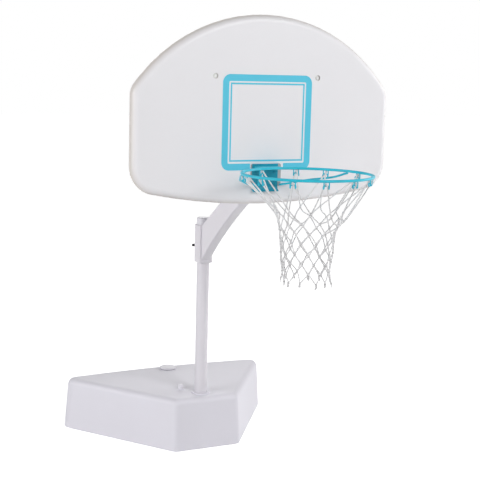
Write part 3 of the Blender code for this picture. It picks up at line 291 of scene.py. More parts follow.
def grain_group():
    """Fine relief of a moulded or painted surface, from Object coordinates."""
    tree, entry, leave = new_group(
        "surface_grain",
        [("Scale", "NodeSocketFloat", 900.0), ("Depth", "NodeSocketFloat", 0.2),
         ("Ripple scale", "NodeSocketFloat", 12.0), ("Ripple depth", "NodeSocketFloat", 0.1)],
        [("Normal", "NodeSocketVector"), ("Grain", "NodeSocketFloat")])
    place = put(tree, "ShaderNodeTexCoord").outputs["Object"]
    fine = put(tree, "ShaderNodeTexNoise", {"Detail": 3.0, "Roughness": 0.6},
               {"Vector": place, "Scale": entry["Scale"]})
    wave = put(tree, "ShaderNodeTexNoise", {"Detail": 1.0},
               {"Vector": place, "Scale": entry["Ripple scale"]})
    broad = put(tree, "ShaderNodeBump", {"Distance": 0.004},
                {"Strength": entry["Ripple depth"], "Height": wave.outputs["Fac"]})
    close = put(tree, "ShaderNodeBump", {"Distance": 0.0004},
                {"Strength": entry["Depth"], "Height": fine.outputs["Fac"],
                 "Normal": broad.outputs["Normal"]})
    tree.links.new(close.outputs["Normal"], leave["Normal"])
    tree.links.new(fine.outputs["Fac"], leave["Grain"])
    return tree


def tone_group():
    """Slow change of tone over a surface, with fine dust where it looks up."""
    tree, entry, leave = new_group(
        "tone_and_dust",
        [("Colour", "NodeSocketColor", (0.8, 0.8, 0.8, 1)),
         ("Shade", "NodeSocketColor", (0.7, 0.7, 0.7, 1)),
         ("Tone scale", "NodeSocketFloat", 4.0), ("Tone", "NodeSocketFloat", 0.3),
         ("Dust", "NodeSocketFloat", 0.05)],
        [("Colour", "NodeSocketColor")])
    place = put(tree, "ShaderNodeTexCoord").outputs["Object"]
    cloud = put(tree, "ShaderNodeTexNoise", {"Detail": 4.0, "Roughness": 0.55},
                {"Vector": place, "Scale": entry["Tone scale"]})
    spread = put(tree, "ShaderNodeMapRange", {"From Min": 0.35, "From Max": 0.7},
                 {"Value": cloud.outputs["Fac"]})
    amount = put(tree, "ShaderNodeMath", links={0: spread.outputs["Result"], 1: entry["Tone"]},
                 operation="MULTIPLY")
    toned = put(tree, "ShaderNodeMix", links={"Factor": amount.outputs[0], "A": entry["Colour"],
                                              "B": entry["Shade"]}, data_type="RGBA")
    normal = put(tree, "ShaderNodeNewGeometry").outputs["Normal"]
    facing = put(tree, "ShaderNodeSeparateXYZ", links={"Vector": normal})
    upward = put(tree, "ShaderNodeMapRange", {"From Min": 0.5, "From Max": 1.0},
                 {"Value": facing.outputs["Z"]})
    specks = put(tree, "ShaderNodeTexNoise", {"Scale": 260.0, "Detail": 3.0}, {"Vector": place})
    dusty = put(tree, "ShaderNodeMath", links={0: upward.outputs["Result"],
                                               1: specks.outputs["Fac"]}, operation="MULTIPLY")
    laid = put(tree, "ShaderNodeMath", links={0: dusty.outputs[0], 1: entry["Dust"]},
               operation="MULTIPLY")
    grey = put(tree, "ShaderNodeMix", {"B": (0.55, 0.53, 0.50, 1)},
               {"Factor": laid.outputs[0], "A": toned.outputs[2]}, data_type="RGBA")
    tree.links.new(grey.outputs[2], leave["Colour"])
    return tree


def twist_group():
    """Lay of a twisted cord along a tube's own UV map."""
    tree, entry, leave = new_group(
        "cord_lay",
        [("Turns", "NodeSocketFloat", 60.0), ("Strands", "NodeSocketFloat", 3.0),
         ("Depth", "NodeSocketFloat", 0.6)],
        [("Normal", "NodeSocketVector"), ("Groove", "NodeSocketFloat")])
    uv = put(tree, "ShaderNodeSeparateXYZ",
             links={"Vector": put(tree, "ShaderNodeTexCoord").outputs["UV"]})
    along = put(tree, "ShaderNodeMath", links={0: uv.outputs["X"], 1: entry["Turns"]},
                operation="MULTIPLY")
    round_it = put(tree, "ShaderNodeMath", links={0: uv.outputs["Y"], 1: entry["Strands"]},
                   operation="MULTIPLY")
    lay = put(tree, "ShaderNodeMath", links={0: along.outputs[0], 1: round_it.outputs[0]},
              operation="ADD")
    turn = put(tree, "ShaderNodeMath", {1: 2 * math.pi}, {0: lay.outputs[0]},
               operation="MULTIPLY")
    wave = put(tree, "ShaderNodeMath", links={0: turn.outputs[0]}, operation="SINE")
    height = put(tree, "ShaderNodeMapRange", {"From Min": -1.0, "From Max": 1.0},
                 {"Value": wave.outputs[0]})
    bump = put(tree, "ShaderNodeBump", {"Distance": 0.0006},
               {"Strength": entry["Depth"], "Height": height.outputs["Result"]})
    tree.links.new(bump.outputs["Normal"], leave["Normal"])
    tree.links.new(height.outputs["Result"], leave["Groove"])
    return tree


GRAIN = grain_group()
TONE = tone_group()
TWIST = twist_group()


def new_material(name, roughness, metallic=0.0, **sockets):
    """A material with one Principled shader, its constants set on its own sockets."""
    made = bpy.data.materials.new(name)
    made.use_nodes = True
    shader = made.node_tree.nodes["Principled BSDF"]
    shader.inputs["Roughness"].default_value = roughness
    shader.inputs["Metallic"].default_value = metallic
    for label, value in sockets.items():
        shader.inputs[label.replace("_", " ")].default_value = value
    return made, made.node_tree, shader


def placed_group(tree, group, **values):
    """A group node in a material, with values on its named inputs."""
    node = tree.nodes.new("ShaderNodeGroup")
    node.node_tree = group
    for label, value in values.items():
        node.inputs[label.replace("_", " ")].default_value = value
    return node


def coated(name, colour, shade, roughness, swing, grain, tone, metallic=0.0, **sockets):
    """A painted or moulded finish: grain in its relief, tone in its colour and gloss."""
    made, tree, shader = new_material(name, roughness, metallic, **sockets)
    relief = placed_group(tree, GRAIN, **grain)
    tint = placed_group(tree, TONE, Colour=(*colour, 1), Shade=(*shade, 1), **tone)
    tree.links.new(tint.outputs["Colour"], shader.inputs["Base Color"])
    gloss = put(tree, "ShaderNodeMapRange",
                {"To Min": roughness - swing, "To Max": roughness + swing},
                {"Value": relief.outputs["Grain"]})
    tree.links.new(gloss.outputs["Result"], shader.inputs["Roughness"])
    tree.links.new(relief.outputs["Normal"], shader.inputs["Normal"])
    return made


# How squarely a face looks along the board's depth where the painted edge shade begins, and where
# it is full
SIDE_FACING = (0.93, 0.35)


def painted_edge_shade(made, tint):
    """Painted shade, warm as bounced light: faces turned away from the board's front are a little
    greyer and warmer.
    """
    tree = made.node_tree
    entry = tree.nodes["Principled BSDF"].inputs["Base Color"]
    colour = entry.links[0].from_socket
    facing = put(tree, "ShaderNodeSeparateXYZ",
                 links={"Vector": put(tree, "ShaderNodeTexCoord").outputs["Normal"]})
    amount = put(tree, "ShaderNodeMath", links={0: facing.outputs["Y"]}, operation="ABSOLUTE")
    side = put(tree, "ShaderNodeMapRange", {"From Min": SIDE_FACING[0], "From Max": SIDE_FACING[1]},
               {"Value": amount.outputs[0]})
    # Multiply the warm grey in as painted shade on faces that turn away from the board's front
    edge_shaded = put(tree, "ShaderNodeMix", {"B": (*tint, 1)},
                 {"Factor": side.outputs[0], "A": colour}, data_type="RGBA", blend_type="MULTIPLY")
    tree.links.new(edge_shaded.outputs[2], entry)


MOULDED_TANK = coated(
    "moulded_tank", (0.765, 0.75, 0.815), (0.71, 0.69, 0.745), 0.50, 0.08,
    dict(Scale=700.0, Depth=0.35, Ripple_scale=7.0, Ripple_depth=0.10),
    dict(Tone_scale=3.0, Tone=0.25, Dust=0.10))
MOULDED_BOARD = coated(
    "moulded_board", (0.86, 0.85, 0.875), (0.81, 0.80, 0.825), 0.40, 0.06,
    dict(Scale=1100.0, Depth=0.14, Ripple_scale=6.0, Ripple_depth=0.06),
    dict(Tone_scale=2.2, Tone=0.22, Dust=0.06))
# The board's rounded edges and underside get painted shade with a warm cast of bounced light
painted_edge_shade(MOULDED_BOARD, (0.74, 0.70, 0.655))
MOULDED_SMALL = coated(
    "moulded_small", (0.765, 0.75, 0.805), (0.70, 0.685, 0.735), 0.42, 0.06,
    dict(Scale=1300.0, Depth=0.2, Ripple_scale=40.0, Ripple_depth=0.04),
    dict(Tone_scale=20.0, Tone=0.25, Dust=0.15))
POWDER_WHITE = coated(
    "powder_coat_white", (0.74, 0.715, 0.765), (0.675, 0.65, 0.695), 0.33, 0.07,
    dict(Scale=1500.0, Depth=0.22, Ripple_scale=90.0, Ripple_depth=0.03),
    dict(Tone_scale=9.0, Tone=0.22, Dust=0.08), Coat_Weight=0.15, Coat_Roughness=0.2)
ENAMEL_TEAL = coated(
    "enamel_teal", (0.030, 0.55, 0.72), (0.016, 0.42, 0.56), 0.34, 0.08,
    dict(Scale=1400.0, Depth=0.22, Ripple_scale=70.0, Ripple_depth=0.04),
    dict(Tone_scale=24.0, Tone=0.45, Dust=0.02), Specular_IOR_Level=0.28)
# A darker copy of the teal enamel: painted shade for the bracket's back plate and its bolts under
# the hood
BRACKET_TEAL_PAINTED_SHADE = coated(
    "bracket_teal_painted_shade", (0.016, 0.34, 0.47), (0.006, 0.20, 0.29), 0.40, 0.08,
    dict(Scale=1400.0, Depth=0.22, Ripple_scale=70.0, Ripple_depth=0.04),
    dict(Tone_scale=18.0, Tone=0.6, Dust=0.02), Specular_IOR_Level=0.25)
PRINT_TEAL = coated(
    "printed_teal", (0.090, 0.58, 0.775), (0.08, 0.54, 0.72), 0.42, 0.06,
    dict(Scale=1600.0, Depth=0.08, Ripple_scale=8.0, Ripple_depth=0.03),
    dict(Tone_scale=30.0, Tone=0.35, Dust=0.03))
ZINC = coated(
    "zinc_plated", (0.60, 0.60, 0.58), (0.45, 0.46, 0.48), 0.36, 0.12,
    dict(Scale=900.0, Depth=0.15, Ripple_scale=60.0, Ripple_depth=0.03),
    dict(Tone_scale=60.0, Tone=0.6, Dust=0.10), metallic=1.0)
RUBBER = coated(
    "black_rubber", (0.022, 0.022, 0.023), (0.04, 0.04, 0.04), 0.70, 0.10,
    dict(Scale=1100.0, Depth=0.4, Ripple_scale=30.0, Ripple_depth=0.05),
    dict(Tone_scale=40.0, Tone=0.5, Dust=0.4))
GREY_PLASTIC = coated(
    "grey_plastic", (0.42, 0.42, 0.43), (0.35, 0.35, 0.36), 0.50, 0.08,
    dict(Scale=1200.0, Depth=0.25, Ripple_scale=30.0, Ripple_depth=0.04),
    dict(Tone_scale=30.0, Tone=0.4, Dust=0.1))
STILL_WATER = coated(
    "still_water", (0.55, 0.72, 0.78), (0.45, 0.66, 0.74), 0.08, 0.03,
    dict(Scale=60.0, Depth=0.05, Ripple_scale=9.0, Ripple_depth=0.2),
    dict(Tone_scale=3.0, Tone=0.4, Dust=0.0))


def cord_material():
    """White braided polyester: lay in relief, grooves darkened with painted shade, soft sheen."""
    made, tree, shader = new_material("white_cord", 0.8, Sheen_Weight=0.25, Sheen_Roughness=0.5)
    lay = placed_group(tree, TWIST, Turns=120.0, Strands=3.0, Depth=0.7)
    tint = placed_group(tree, TONE, Colour=(0.87, 0.87, 0.88, 1), Shade=(0.78, 0.77, 0.77, 1),
                        Tone_scale=35.0, Tone=0.5, Dust=0.0)
    # Darker grey in the lay's grooves is painted shade
    painted_groove_shade = put(tree, "ShaderNodeMix", {"A": (0.70, 0.69, 0.70, 1)},
                 {"Factor": lay.outputs["Groove"], "B": tint.outputs["Colour"]}, data_type="RGBA")
    tree.links.new(painted_groove_shade.outputs[2], shader.inputs["Base Color"])
    tree.links.new(lay.outputs["Normal"], shader.inputs["Normal"])
    return made


WHITE_CORD = cord_material()


# Solids carried over with softened edges


def eased(low, high, value):
    """Smooth step from nought at low to one at high."""
    t = min(max((value - low) / (high - low), 0.0), 1.0)
    return t * t * (3 - 2 * t)


def arc_points(centre, radius, start, end, steps):
    """Points along an arc, both ends included."""
    turns = [start + (end - start) * i / steps for i in range(steps + 1)]
    return [(centre[0] + radius * math.cos(t), centre[1] + radius * math.sin(t)) for t in turns]


def reach(outline, way):
    """Distance from the middle to a closed outline along a direction."""
    best = 0.0
    for (ax, ay), (bx, by) in zip(outline, outline[1:] + outline[:1]):
        cross = (bx - ax) * way[1] - (by - ay) * way[0]
        if abs(cross) < 1e-12:
            continue
        along = ((bx - ax) * ay - (by - ay) * ax) / cross
        share = (ax * way[1] - ay * way[0]) / -cross
        if -OUTLINE_SLACK <= share <= 1 + OUTLINE_SLACK:
            best = max(best, along)
    return best


def board_outline(half_width, top, bottom, arch, shoulder, sag, corner):
    """The board's outline about its middle: arched top, round shoulders and corners, bowed foot."""
    quarter = math.pi / 2
    lean = math.asin((half_width - shoulder) / (arch - shoulder))
    peak = (0.0, top - arch - BOARD_MIDDLE)
    bend = (half_width - shoulder, peak[1] + (arch - shoulder) * math.cos(lean))
    swing = math.asin((half_width - corner) / (sag - corner))
    bowl = (0.0, bottom + sag - BOARD_MIDDLE)
    heel = (half_width - corner, bowl[1] - (sag - corner) * math.cos(swing))
    right = arc_points(bowl, sag, -quarter, swing - quarter, 8)[:-1]
    right += arc_points(heel, corner, swing - quarter, 0.0, 16)
    right += arc_points(bend, shoulder, 0.0, quarter - lean, 12)[:-1]
    right += arc_points(peak, arch, quarter - lean, quarter, 24)
    return right + [(-x, y) for x, y in reversed(right[1:-1])]


def as_board(point):
    """Place of a point of the board's solid in the moulding as photographed."""
    across, above = point.x, point.z - BOARD_MIDDLE
    length = math.hypot(across, above)
    way = (across / length, above / length)
    old, new = reach(BOARD_DRAWN, way), reach(BOARD_SEEN, way)
    stretch = 1 + eased(*BOARD_EASED, length / old) * (new / old - 1)
    return Vector((across * stretch + BOARD_SHIFT, point.y, BOARD_MIDDLE + above * stretch))


def corner_radius(tank, end, drawn_in, rounded):
    """Radius of the tank's corners at one end, once they have tightened."""
    by_wall, by_edge = tank[end + "_loss"]
    return tank[end + "_corner"] - by_wall * drawn_in - by_edge * rounded


def tank_section(tank, height):
    """The tank's outline at a height, about a point inside it."""
    fillet = tank["fillet"]
    top = min(height, tank["height"])
    shoulder = tank["height"] - fillet
    drawn_in = tank["draft"] / tank["height"] * min(max(top, 0.0), shoulder)
    lift = max(top - shoulder, 0.0) / fillet
    rounded = fillet * (1 - math.sqrt(max(1 - lift * lift, 0.0)))
    if height < TANK_FOOT:
        below = TANK_FOOT - max(height, 0.0)
        drawn_in = TANK_FOOT - math.sqrt(max(TANK_FOOT ** 2 - below ** 2, 0.0))
    inset = drawn_in + rounded
    front_radius = corner_radius(tank, "front", drawn_in, rounded)
    back_radius = corner_radius(tank, "back", drawn_in, rounded)
    side = Vector((tank["back_half"] - tank["front_half"],
                   tank["back"] + tank["front"])).normalized()
    outward = Vector((side.y, -side.x))
    edge = Vector((tank["front_half"], -tank["front"]))
    bow = (tank["back_half"] ** 2 + tank["bow"] ** 2) / (2 * tank["bow"])
    bow_centre = Vector((0, tank["back"] + tank["bow"] - bow))
    start = edge - outward * (inset + front_radius)
    front = start + side * ((-tank["front"] + inset + front_radius - start.y) / side.y)
    start = edge - outward * (inset + back_radius)
    span = start - bow_centre
    along = span.dot(side)
    back = start + side * (math.sqrt(along ** 2 - span.length_squared
                                     + (bow - inset - back_radius) ** 2) - along)
    turn = math.atan2(outward.y, outward.x)
    towards = back - bow_centre
    swing = math.atan2(towards.y, towards.x)
    right = arc_points(front, front_radius, -math.pi / 2, turn, 8)
    right += arc_points(back, back_radius, turn, swing, 8)
    rear = arc_points(bow_centre, bow - inset, swing, math.pi - swing, 16)[1:-1]
    outline = right + rear + [(-x, y) for x, y in reversed(right)]
    return [(x, y - TANK_MIDDLE) for x, y in outline]


# Outlines already worked out, by height
TANK_SECTIONS = {}


def as_tank(point):
    """Place of a point of the tank's solid in the moulding as photographed."""
    level = round(point.z, 5)
    if level not in TANK_SECTIONS:
        grown = level * TANK_SEEN["height"] / TANK_DRAWN["height"]
        TANK_SECTIONS[level] = (tank_section(TANK_DRAWN, level), tank_section(TANK_SEEN, grown))
    drawn, seen = TANK_SECTIONS[level]
    across, along = point.x, point.y - TANK_MIDDLE
    length = max(math.hypot(across, along), 1e-6)
    way = (across / length, along / length)
    old, new = reach(drawn, way), reach(seen, way)
    amount = eased(*TANK_EASED, length / old)
    for x, y, near, far in TANK_FITTINGS:
        amount *= eased(near, far, math.hypot(point.x - x, point.y - y))
    stretch = 1 + amount * (new / old - 1)
    rise = amount * level * (TANK_SEEN["height"] / TANK_DRAWN["height"] - 1)
    return Vector((across * stretch, TANK_MIDDLE + along * stretch, point.z + rise))


def bracket_place(point):
    """The bracket's pieces stand a little to one side."""
    return point + Vector((BRACKET_SHIFT, 0, 0))


def plate_shape(point):
    """The back plate leaves a strip of the grey plate bare at its right edge."""
    drawn_in = PLATE_DRAWN_IN * eased(*PLATE_EASED, point.x)
    return bracket_place(point) - Vector((drawn_in, 0, 0))


def hood_shape(point):
    """The hood's cheeks are low lips under the ring."""
    drop = max(HOOD_TOP - point.z, 0.0)
    share = HOOD_CHEEK_SHARE + (1 - HOOD_CHEEK_SHARE) * math.exp(-drop / HOOD_FADE)
    return bracket_place(Vector((point.x, point.y, HOOD_TOP - drop * share)))


def shifted(point):
    """A fixing on the board's face goes with the board."""
    return point + Vector((BOARD_SHIFT, 0, 0))


BOARD_DRAWN = board_outline(**BOARD_SIZES_DRAWN)
BOARD_SEEN = [(x + BOARD_RIM_SHIFT, z) for x, z in board_outline(**BOARD_SIZES_SEEN)]


def dressed(node, body, finish, slot, edge=0.0, shape=None):
    """A welded copy of a node's solid with round edges and smooth shading, in its place."""
    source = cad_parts[node]
    piece = bpy.data.objects.new(node + "_skin", source.data.copy())
    bpy.context.collection.objects.link(piece)
    edit(piece)
    bpy.ops.mesh.customdata_custom_splitnormals_clear()
    bpy.ops.mesh.remove_doubles(threshold=MERGE_DISTANCE)
    bpy.ops.mesh.dissolve_limited(angle_limit=FLAT_ANGLE)
    leave_edit()
    if shape:
        for vertex in piece.data.vertices:
            vertex.co = shape(vertex.co)
    if edge:
        apply_modifier(piece, "BEVEL", width=edge, segments=EDGE_STEPS, limit_method="ANGLE",
                       angle_limit=SHARP_ANGLE, use_clamp_overlap=True)
    pick(piece)
    bpy.ops.object.shade_smooth_by_angle(angle=SHARP_ANGLE)
    apply_modifier(piece, "WEIGHTED_NORMAL", weight=80, keep_sharp=True)
    return settle(piece, node + "_skin", body, finish, slot, node)


dressed("base_tank", "base", MOULDED_TANK, "white_plastic", shape=as_tank)
dressed("fill_cap", "fill_cap", MOULDED_SMALL, "white_plastic", edge=0.0004)
dressed("vent_plug", "vent_plug", MOULDED_SMALL, "white_plastic")
dressed("pole", "pole", POWDER_WHITE, "white_paint")
dressed("pole_cap", "pole", MOULDED_SMALL, "white_plastic")
dressed("sleeve", "head", POWDER_WHITE, "white_paint", edge=0.0004)
dressed("clamp_boss", "head", POWDER_WHITE, "white_paint")
dressed("arm_channel", "head", POWDER_WHITE, "white_paint")
dressed("arm_closing_strip", "head", POWDER_WHITE, "white_paint", edge=0.0005)
dressed("arm_end_plate", "head", POWDER_WHITE, "white_paint", edge=0.0006)
dressed("brace_upright", "head", POWDER_WHITE, "white_paint", edge=0.0004)
dressed("brace_crossbar", "head", POWDER_WHITE, "white_paint", edge=0.0004)
dressed("backboard", "head", MOULDED_BOARD, "white_plastic", shape=as_board)
dressed("bracket_backing_plate", "head", GREY_PLASTIC, "grey_plastic", edge=0.0004,
        shape=bracket_place)
# The back plate is given the darker teal as painted shade under the hood
dressed("bracket_back_plate", "head", BRACKET_TEAL_PAINTED_SHADE, "teal_paint", edge=0.0005, shape=plate_shape)
dressed("bracket_hood", "head", ENAMEL_TEAL, "teal_paint", edge=0.0005, shape=hood_shape)
dressed("clamp_screw", "clamp_screw", ZINC, "zinc")
dressed("clamp_bar", "clamp_screw", ZINC, "zinc")
for side in ("left", "right"):
    dressed("clamp_tip_" + side, "clamp_screw", RUBBER, "black_rubber")
    dressed("upper_bolt_" + side, "head", ZINC, "zinc", shape=shifted)
    dressed("upper_washer_" + side, "head", ZINC, "zinc", shape=shifted)
    dressed("upper_nut_" + side, "head", ZINC, "zinc", edge=0.0004, shape=shifted)
    for row in ("lower", "upper"):
        # The rim bolts are given the same darker teal, painted shade under the hood
        dressed("rim_bolt_%s_%s" % (row, side), "head", BRACKET_TEAL_PAINTED_SHADE, "zinc", edge=0.0003,
                shape=bracket_place)
        dressed("rim_nut_%s_%s" % (row, side), "head", ZINC, "zinc", edge=0.0004,
                shape=bracket_place)
for node, finish in (("cap_gasket", RUBBER), ("clamp_pad", GREY_PLASTIC),
                     ("water_ballast", STILL_WATER)):
    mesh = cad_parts[node].data
    mesh.materials.clear()
    mesh.materials.append(finish)


# Rim


def ring_frame(angle):
    """Outward and sideways directions on the ring, from the front's angle."""
    outward = Vector((math.sin(angle), -math.cos(angle), 0))
    return outward, UP.cross(outward)


def smooth_path(points, steps):
    """Points of a smooth curve that passes through the given ones."""
    ends = [2 * points[0] - points[1]] + points + [2 * points[-1] - points[-2]]
    path = []
    for a, b, c, d in zip(ends, ends[1:], ends[2:], ends[3:]):
        for i in range(steps):
            t = i / steps
            path.append(0.5 * (2 * b + (c - a) * t + (2 * a - 5 * b + 4 * c - d) * t ** 2
                               + (3 * b - a - 3 * c + d) * t ** 3))
    return path + [points[-1]]


def wires(paths, radius, resolution):
    """Round rods along paths, converted to one welded mesh."""
    deselect()
    bpy.ops.curve.primitive_nurbs_path_add(location=(0, 0, 0))
    rod = bpy.context.object
    rod.data.splines.clear()
    for points in paths:
        spline = rod.data.splines.new("POLY")
        spline.points.add(len(points) - 1)
        for target, point in zip(spline.points, points):
            target.co = (*point, 1)
    rod.data.bevel_depth = radius
    rod.data.bevel_resolution = resolution
    rod.data.use_fill_caps = True
    bpy.ops.object.convert(target="MESH")
    rod = bpy.context.object
    edit(rod)
    bpy.ops.mesh.remove_doubles(threshold=ROD_MERGE_DISTANCE)
    bpy.ops.mesh.normals_make_consistent(inside=False)
    leave_edit()
    bpy.ops.object.shade_smooth_by_angle(angle=ROD_SMOOTH_ANGLE)
    return rod


def make_ring():
    """The rim's rod, closed by a butt weld at the back."""
    deselect()
    bpy.ops.mesh.primitive_torus_add(major_segments=144, minor_segments=16, location=RING_CENTRE,
                                     major_radius=RING_RADIUS, minor_radius=RING_WIRE)
    ring = bpy.context.object
    bpy.ops.object.transform_apply(location=True, rotation=True, scale=True)
    edit(ring, everything=False)
    select_faces(ring, lambda centre, normal: (abs(centre.x) < WELD_HALF_WIDTH
                                               and centre.y > RING_CENTRE.y))
    bpy.ops.transform.shrink_fatten(value=WELD_RISE)
    leave_edit()
    bpy.ops.object.shade_smooth()
    settle(ring, "rim_rod", "head", ENAMEL_TEAL, "teal_paint", "rim_ring")


def hook_points():
    """Half of a hook's wire in its own plane: sideways, inward and down."""
    curl = HOOK_DEPTH / 2
    foot = HOOK_FOOT - curl
    side = [Vector((HOOK_HALF, 0.0, depth)) for depth in (*HOOK_LEG, foot)]
    for i in range(1, HOOK_CURL_STEPS + 1):
        turn = math.pi * i / HOOK_CURL_STEPS
        side.append(Vector((HOOK_HALF, curl * (1 - math.cos(turn)), foot + curl * math.sin(turn))))
    for inset, drop in HOOK_BEND:
        side.append(Vector((HOOK_HALF - inset, HOOK_DEPTH, HOOK_BAR + drop)))
    side.append(Vector((HOOK_STRAIGHT, HOOK_DEPTH, HOOK_BAR)))
    return side


def make_hooks():
    """Twelve bent-wire hooks, each a copy of one, turned to its place."""
    side = hook_points()
    half = [Vector((-p.x, p.y, p.z)) for p in side]
    local = half + list(reversed(side))
    path = [Vector((p.x, p.y, -p.z)) for p in smooth_path(local, 3)]
    first = wires([path], HOOK_WIRE, 2)
    for i, angle in enumerate(HOOK_ANGLES):
        outward, sideways = ring_frame(angle)
        top = RING_CENTRE + outward * RING_RADIUS - UP * HOOK_ROOT
        turn = Matrix((sideways, -outward, UP)).transposed().to_4x4()
        hook = copied(first, Matrix.Translation(top) @ turn)
        name = "net_hook_%02d" % (i + 1)
        settle(hook, name + "_wire", "head", ENAMEL_TEAL, "teal_paint", name)
    bpy.data.objects.remove(first)


def make_stays():
    """Two rods from the bracket's foot, round under the ring's sides."""
    for side, mirror in (("left", -1), ("right", 1)):
        bends = [Vector((mirror * x, y, z)) for x, y, z in STAY_BENDS]
        rod = wires([smooth_path(bends, 5)], STAY_WIRE, 4)
        settle(rod, "rim_stay_%s_rod" % side, "head", ENAMEL_TEAL, "teal_paint",
               "rim_stay_" + side)


make_ring()
make_hooks()
make_stays()


# Shooter's square


def printed_frame(half_width, bottom, top, width, corner, gap=None):
    """A flat printed frame on the board's face, with round corners."""
    deselect()
    middle = Vector((SQUARE_MIDDLE, BOARD_FACE - PRINT_LIFT, (bottom + top) / 2))
    bpy.ops.mesh.primitive_plane_add(size=1, location=middle, rotation=(math.pi / 2, 0, 0))
    frame_print = bpy.context.object
    frame_print.scale = (2 * half_width, top - bottom, 1)
    bpy.ops.object.transform_apply(location=True, rotation=True, scale=True)
    edit(frame_print)
    if corner:
        bpy.ops.mesh.bevel(affect="VERTICES", offset=corner, segments=8)
        bpy.ops.mesh.select_all(action="SELECT")
    bpy.ops.mesh.inset(thickness=width)
    bpy.ops.mesh.delete(type="FACE")
    if gap:
        for edge in gap:
            bpy.ops.mesh.select_all(action="SELECT")
            bpy.ops.mesh.bisect(plane_co=(edge, 0, 0), plane_no=(1, 0, 0))
        select_faces(frame_print, lambda centre, normal: (gap[0] < centre.x < gap[1]
                                                          and centre.z < middle.z))
        bpy.ops.mesh.delete(type="FACE")
    leave_edit()
    apply_modifier(frame_print, "SOLIDIFY", thickness=PRINT_THICKNESS, offset=1.0)
    return frame_print


band = printed_frame(BAND_HALF_WIDTH, BAND_BOTTOM, BAND_TOP, BAND_WIDTH, BAND_CORNER, BAND_GAP)
settle(band, "square_band", "head", PRINT_TEAL, "teal_paint")
line = printed_frame(LINE_HALF_WIDTH, LINE_BOTTOM, LINE_TOP, LINE_WIDTH, 0.0)
settle(line, "square_line", "head", PRINT_TEAL, "teal_paint")


# Net

# Drift of single knots from the even net, by row and place round: degrees round, metres up
KNOT_DRIFT = {
    (0, -3): (-8.0, -0.003), (0, -2): (-0.8, 0.002), (0, -1): (2.2, -0.011),
    (0, 1): (-8.0, -0.024),
    (1, -2): (-2.3, -0.001), (1, -1): (2.2, 0.0), (1, 0): (9.0, -0.012),
    (2, -3): (-1.7, 0.006), (2, -2): (0.5, 0.0), (2, -1): (1.6, -0.002),
    (3, -2): (-2.2, 0.002), (3, -1): (0.0, -0.001), (3, 0): (-1.5, 0.0),
    (4, -3): (-1.8, 0.002), (4, -2): (0.4, -0.003), (4, -1): (-3.4, -0.006),
    (5, -3): (-1.5, 0.001), (5, -2): (-2.5, 0.001), (5, -1): (-3.4, -0.003),
    (5, 0): (-0.2, -0.009),
    (6, -3): (4.9, 0.008), (6, -2): (1.1, 0.0), (6, -1): (1.3, -0.005),
    (7, -4): (9.7, -0.001), (7, -3): (-1.1, -0.002), (7, -2): (-2.2, 0.001),
    (7, -1): (5.2, -0.006), (7, 1): (5.4, -0.011),
}


def knot_places():
    """Place of every knot, row by row, as the net hangs."""
    chance = random.Random(NET_SEED)
    places = {}
    for row, (height, radius) in enumerate(NET_ROWS):
        shift = math.radians(KNOT_PITCH if row % 2 == 0 else KNOT_PITCH / 2)
        for k in range(-KNOTS_ROUND // 2, KNOTS_ROUND // 2):
            drift = KNOT_DRIFT.get((row, k))
            if drift is None:
                drift = (chance.uniform(*TURN_SCATTER), chance.uniform(*HEIGHT_SCATTER))
            angle = shift + math.radians(KNOT_PITCH * k + drift[0]) + NET_TWIST
            out = radius + chance.uniform(*OUT_SCATTER)
            outward, _ = ring_frame(angle)
            centre = Vector((RING_CENTRE.x, RING_CENTRE.y, height + drift[1]))
            leaning = outward.dot(NET_LEAN)
            swing = NET_SHIFT * leaning ** 2 + NET_FLARE[row] * max(leaning, 0.0) ** 2
            places[row, k % KNOTS_ROUND] = centre + outward * out + NET_LEAN * swing
    return places


def strand(places, i, right):
    """Knots that one strand passes on its way down from hook i, and its loose end."""
    chance = random.Random(TAIL_SEED + 2 * i + right)
    down = [places[row, (i + (row + 1) // 2 if right else i - 1 - row // 2) % KNOTS_ROUND]
            for row in range(len(NET_ROWS))]
    way = (down[-1] - down[-2]).normalized()
    hanging = (way * TAIL_SWAY - UP).normalized()
    end = down[-1] + hanging * chance.uniform(*TAIL_SCATTER) * NET_TAIL
    return down + [end]


def make_net():
    """Twelve cords, each hung over its hook, that cross in knots all the way down."""
    places = knot_places()
    paths = []
    for i, angle in enumerate(HOOK_ANGLES):
        outward, sideways = ring_frame(angle)
        bar = RING_CENTRE + outward * (RING_RADIUS - HOOK_DEPTH) - UP * (HOOK_ROOT + HOOK_BAR)
        lift = HOOK_WIRE + NET_CORD + LOOP_GAP
        inner = bar - outward * lift - UP * LOOP_DROP - sideways * LOOP_SPREAD
        outer = bar + outward * lift - UP * LOOP_DROP + sideways * LOOP_SPREAD
        crest = bar + UP * lift
        left = list(reversed(strand(places, i, False)))
        right = strand(places, i, True)
        paths.append(smooth_path(left + [inner, crest, outer] + right, 6))
    cords = wires(paths, NET_CORD, 2)
    deselect()
    bpy.ops.mesh.primitive_torus_add(major_segments=10, minor_segments=6,
                                     major_radius=BIGHT_RADIUS, minor_radius=BIGHT_CORD)
    bight = bpy.context.object
    knots = [cords]
    for _, place in sorted(places.items()):
        outward = Vector((place.x - RING_CENTRE.x, place.y - RING_CENTRE.y, 0)).normalized()
        sideways = UP.cross(outward)
        for lean in (-1, 1):
            axis = (UP + sideways * BIGHT_LEAN * lean).normalized()
            turn = UP.rotation_difference(axis).to_matrix().to_4x4()
            knots.append(copied(bight, Matrix.Translation(place) @ turn))
    bpy.data.objects.remove(bight)
    net = joined(knots)
    pick(net)
    bpy.ops.object.shade_smooth()
    settle(net, "net_cords", "head", WHITE_CORD, "net_cord", "net")


make_net()


# Camera, floor and light

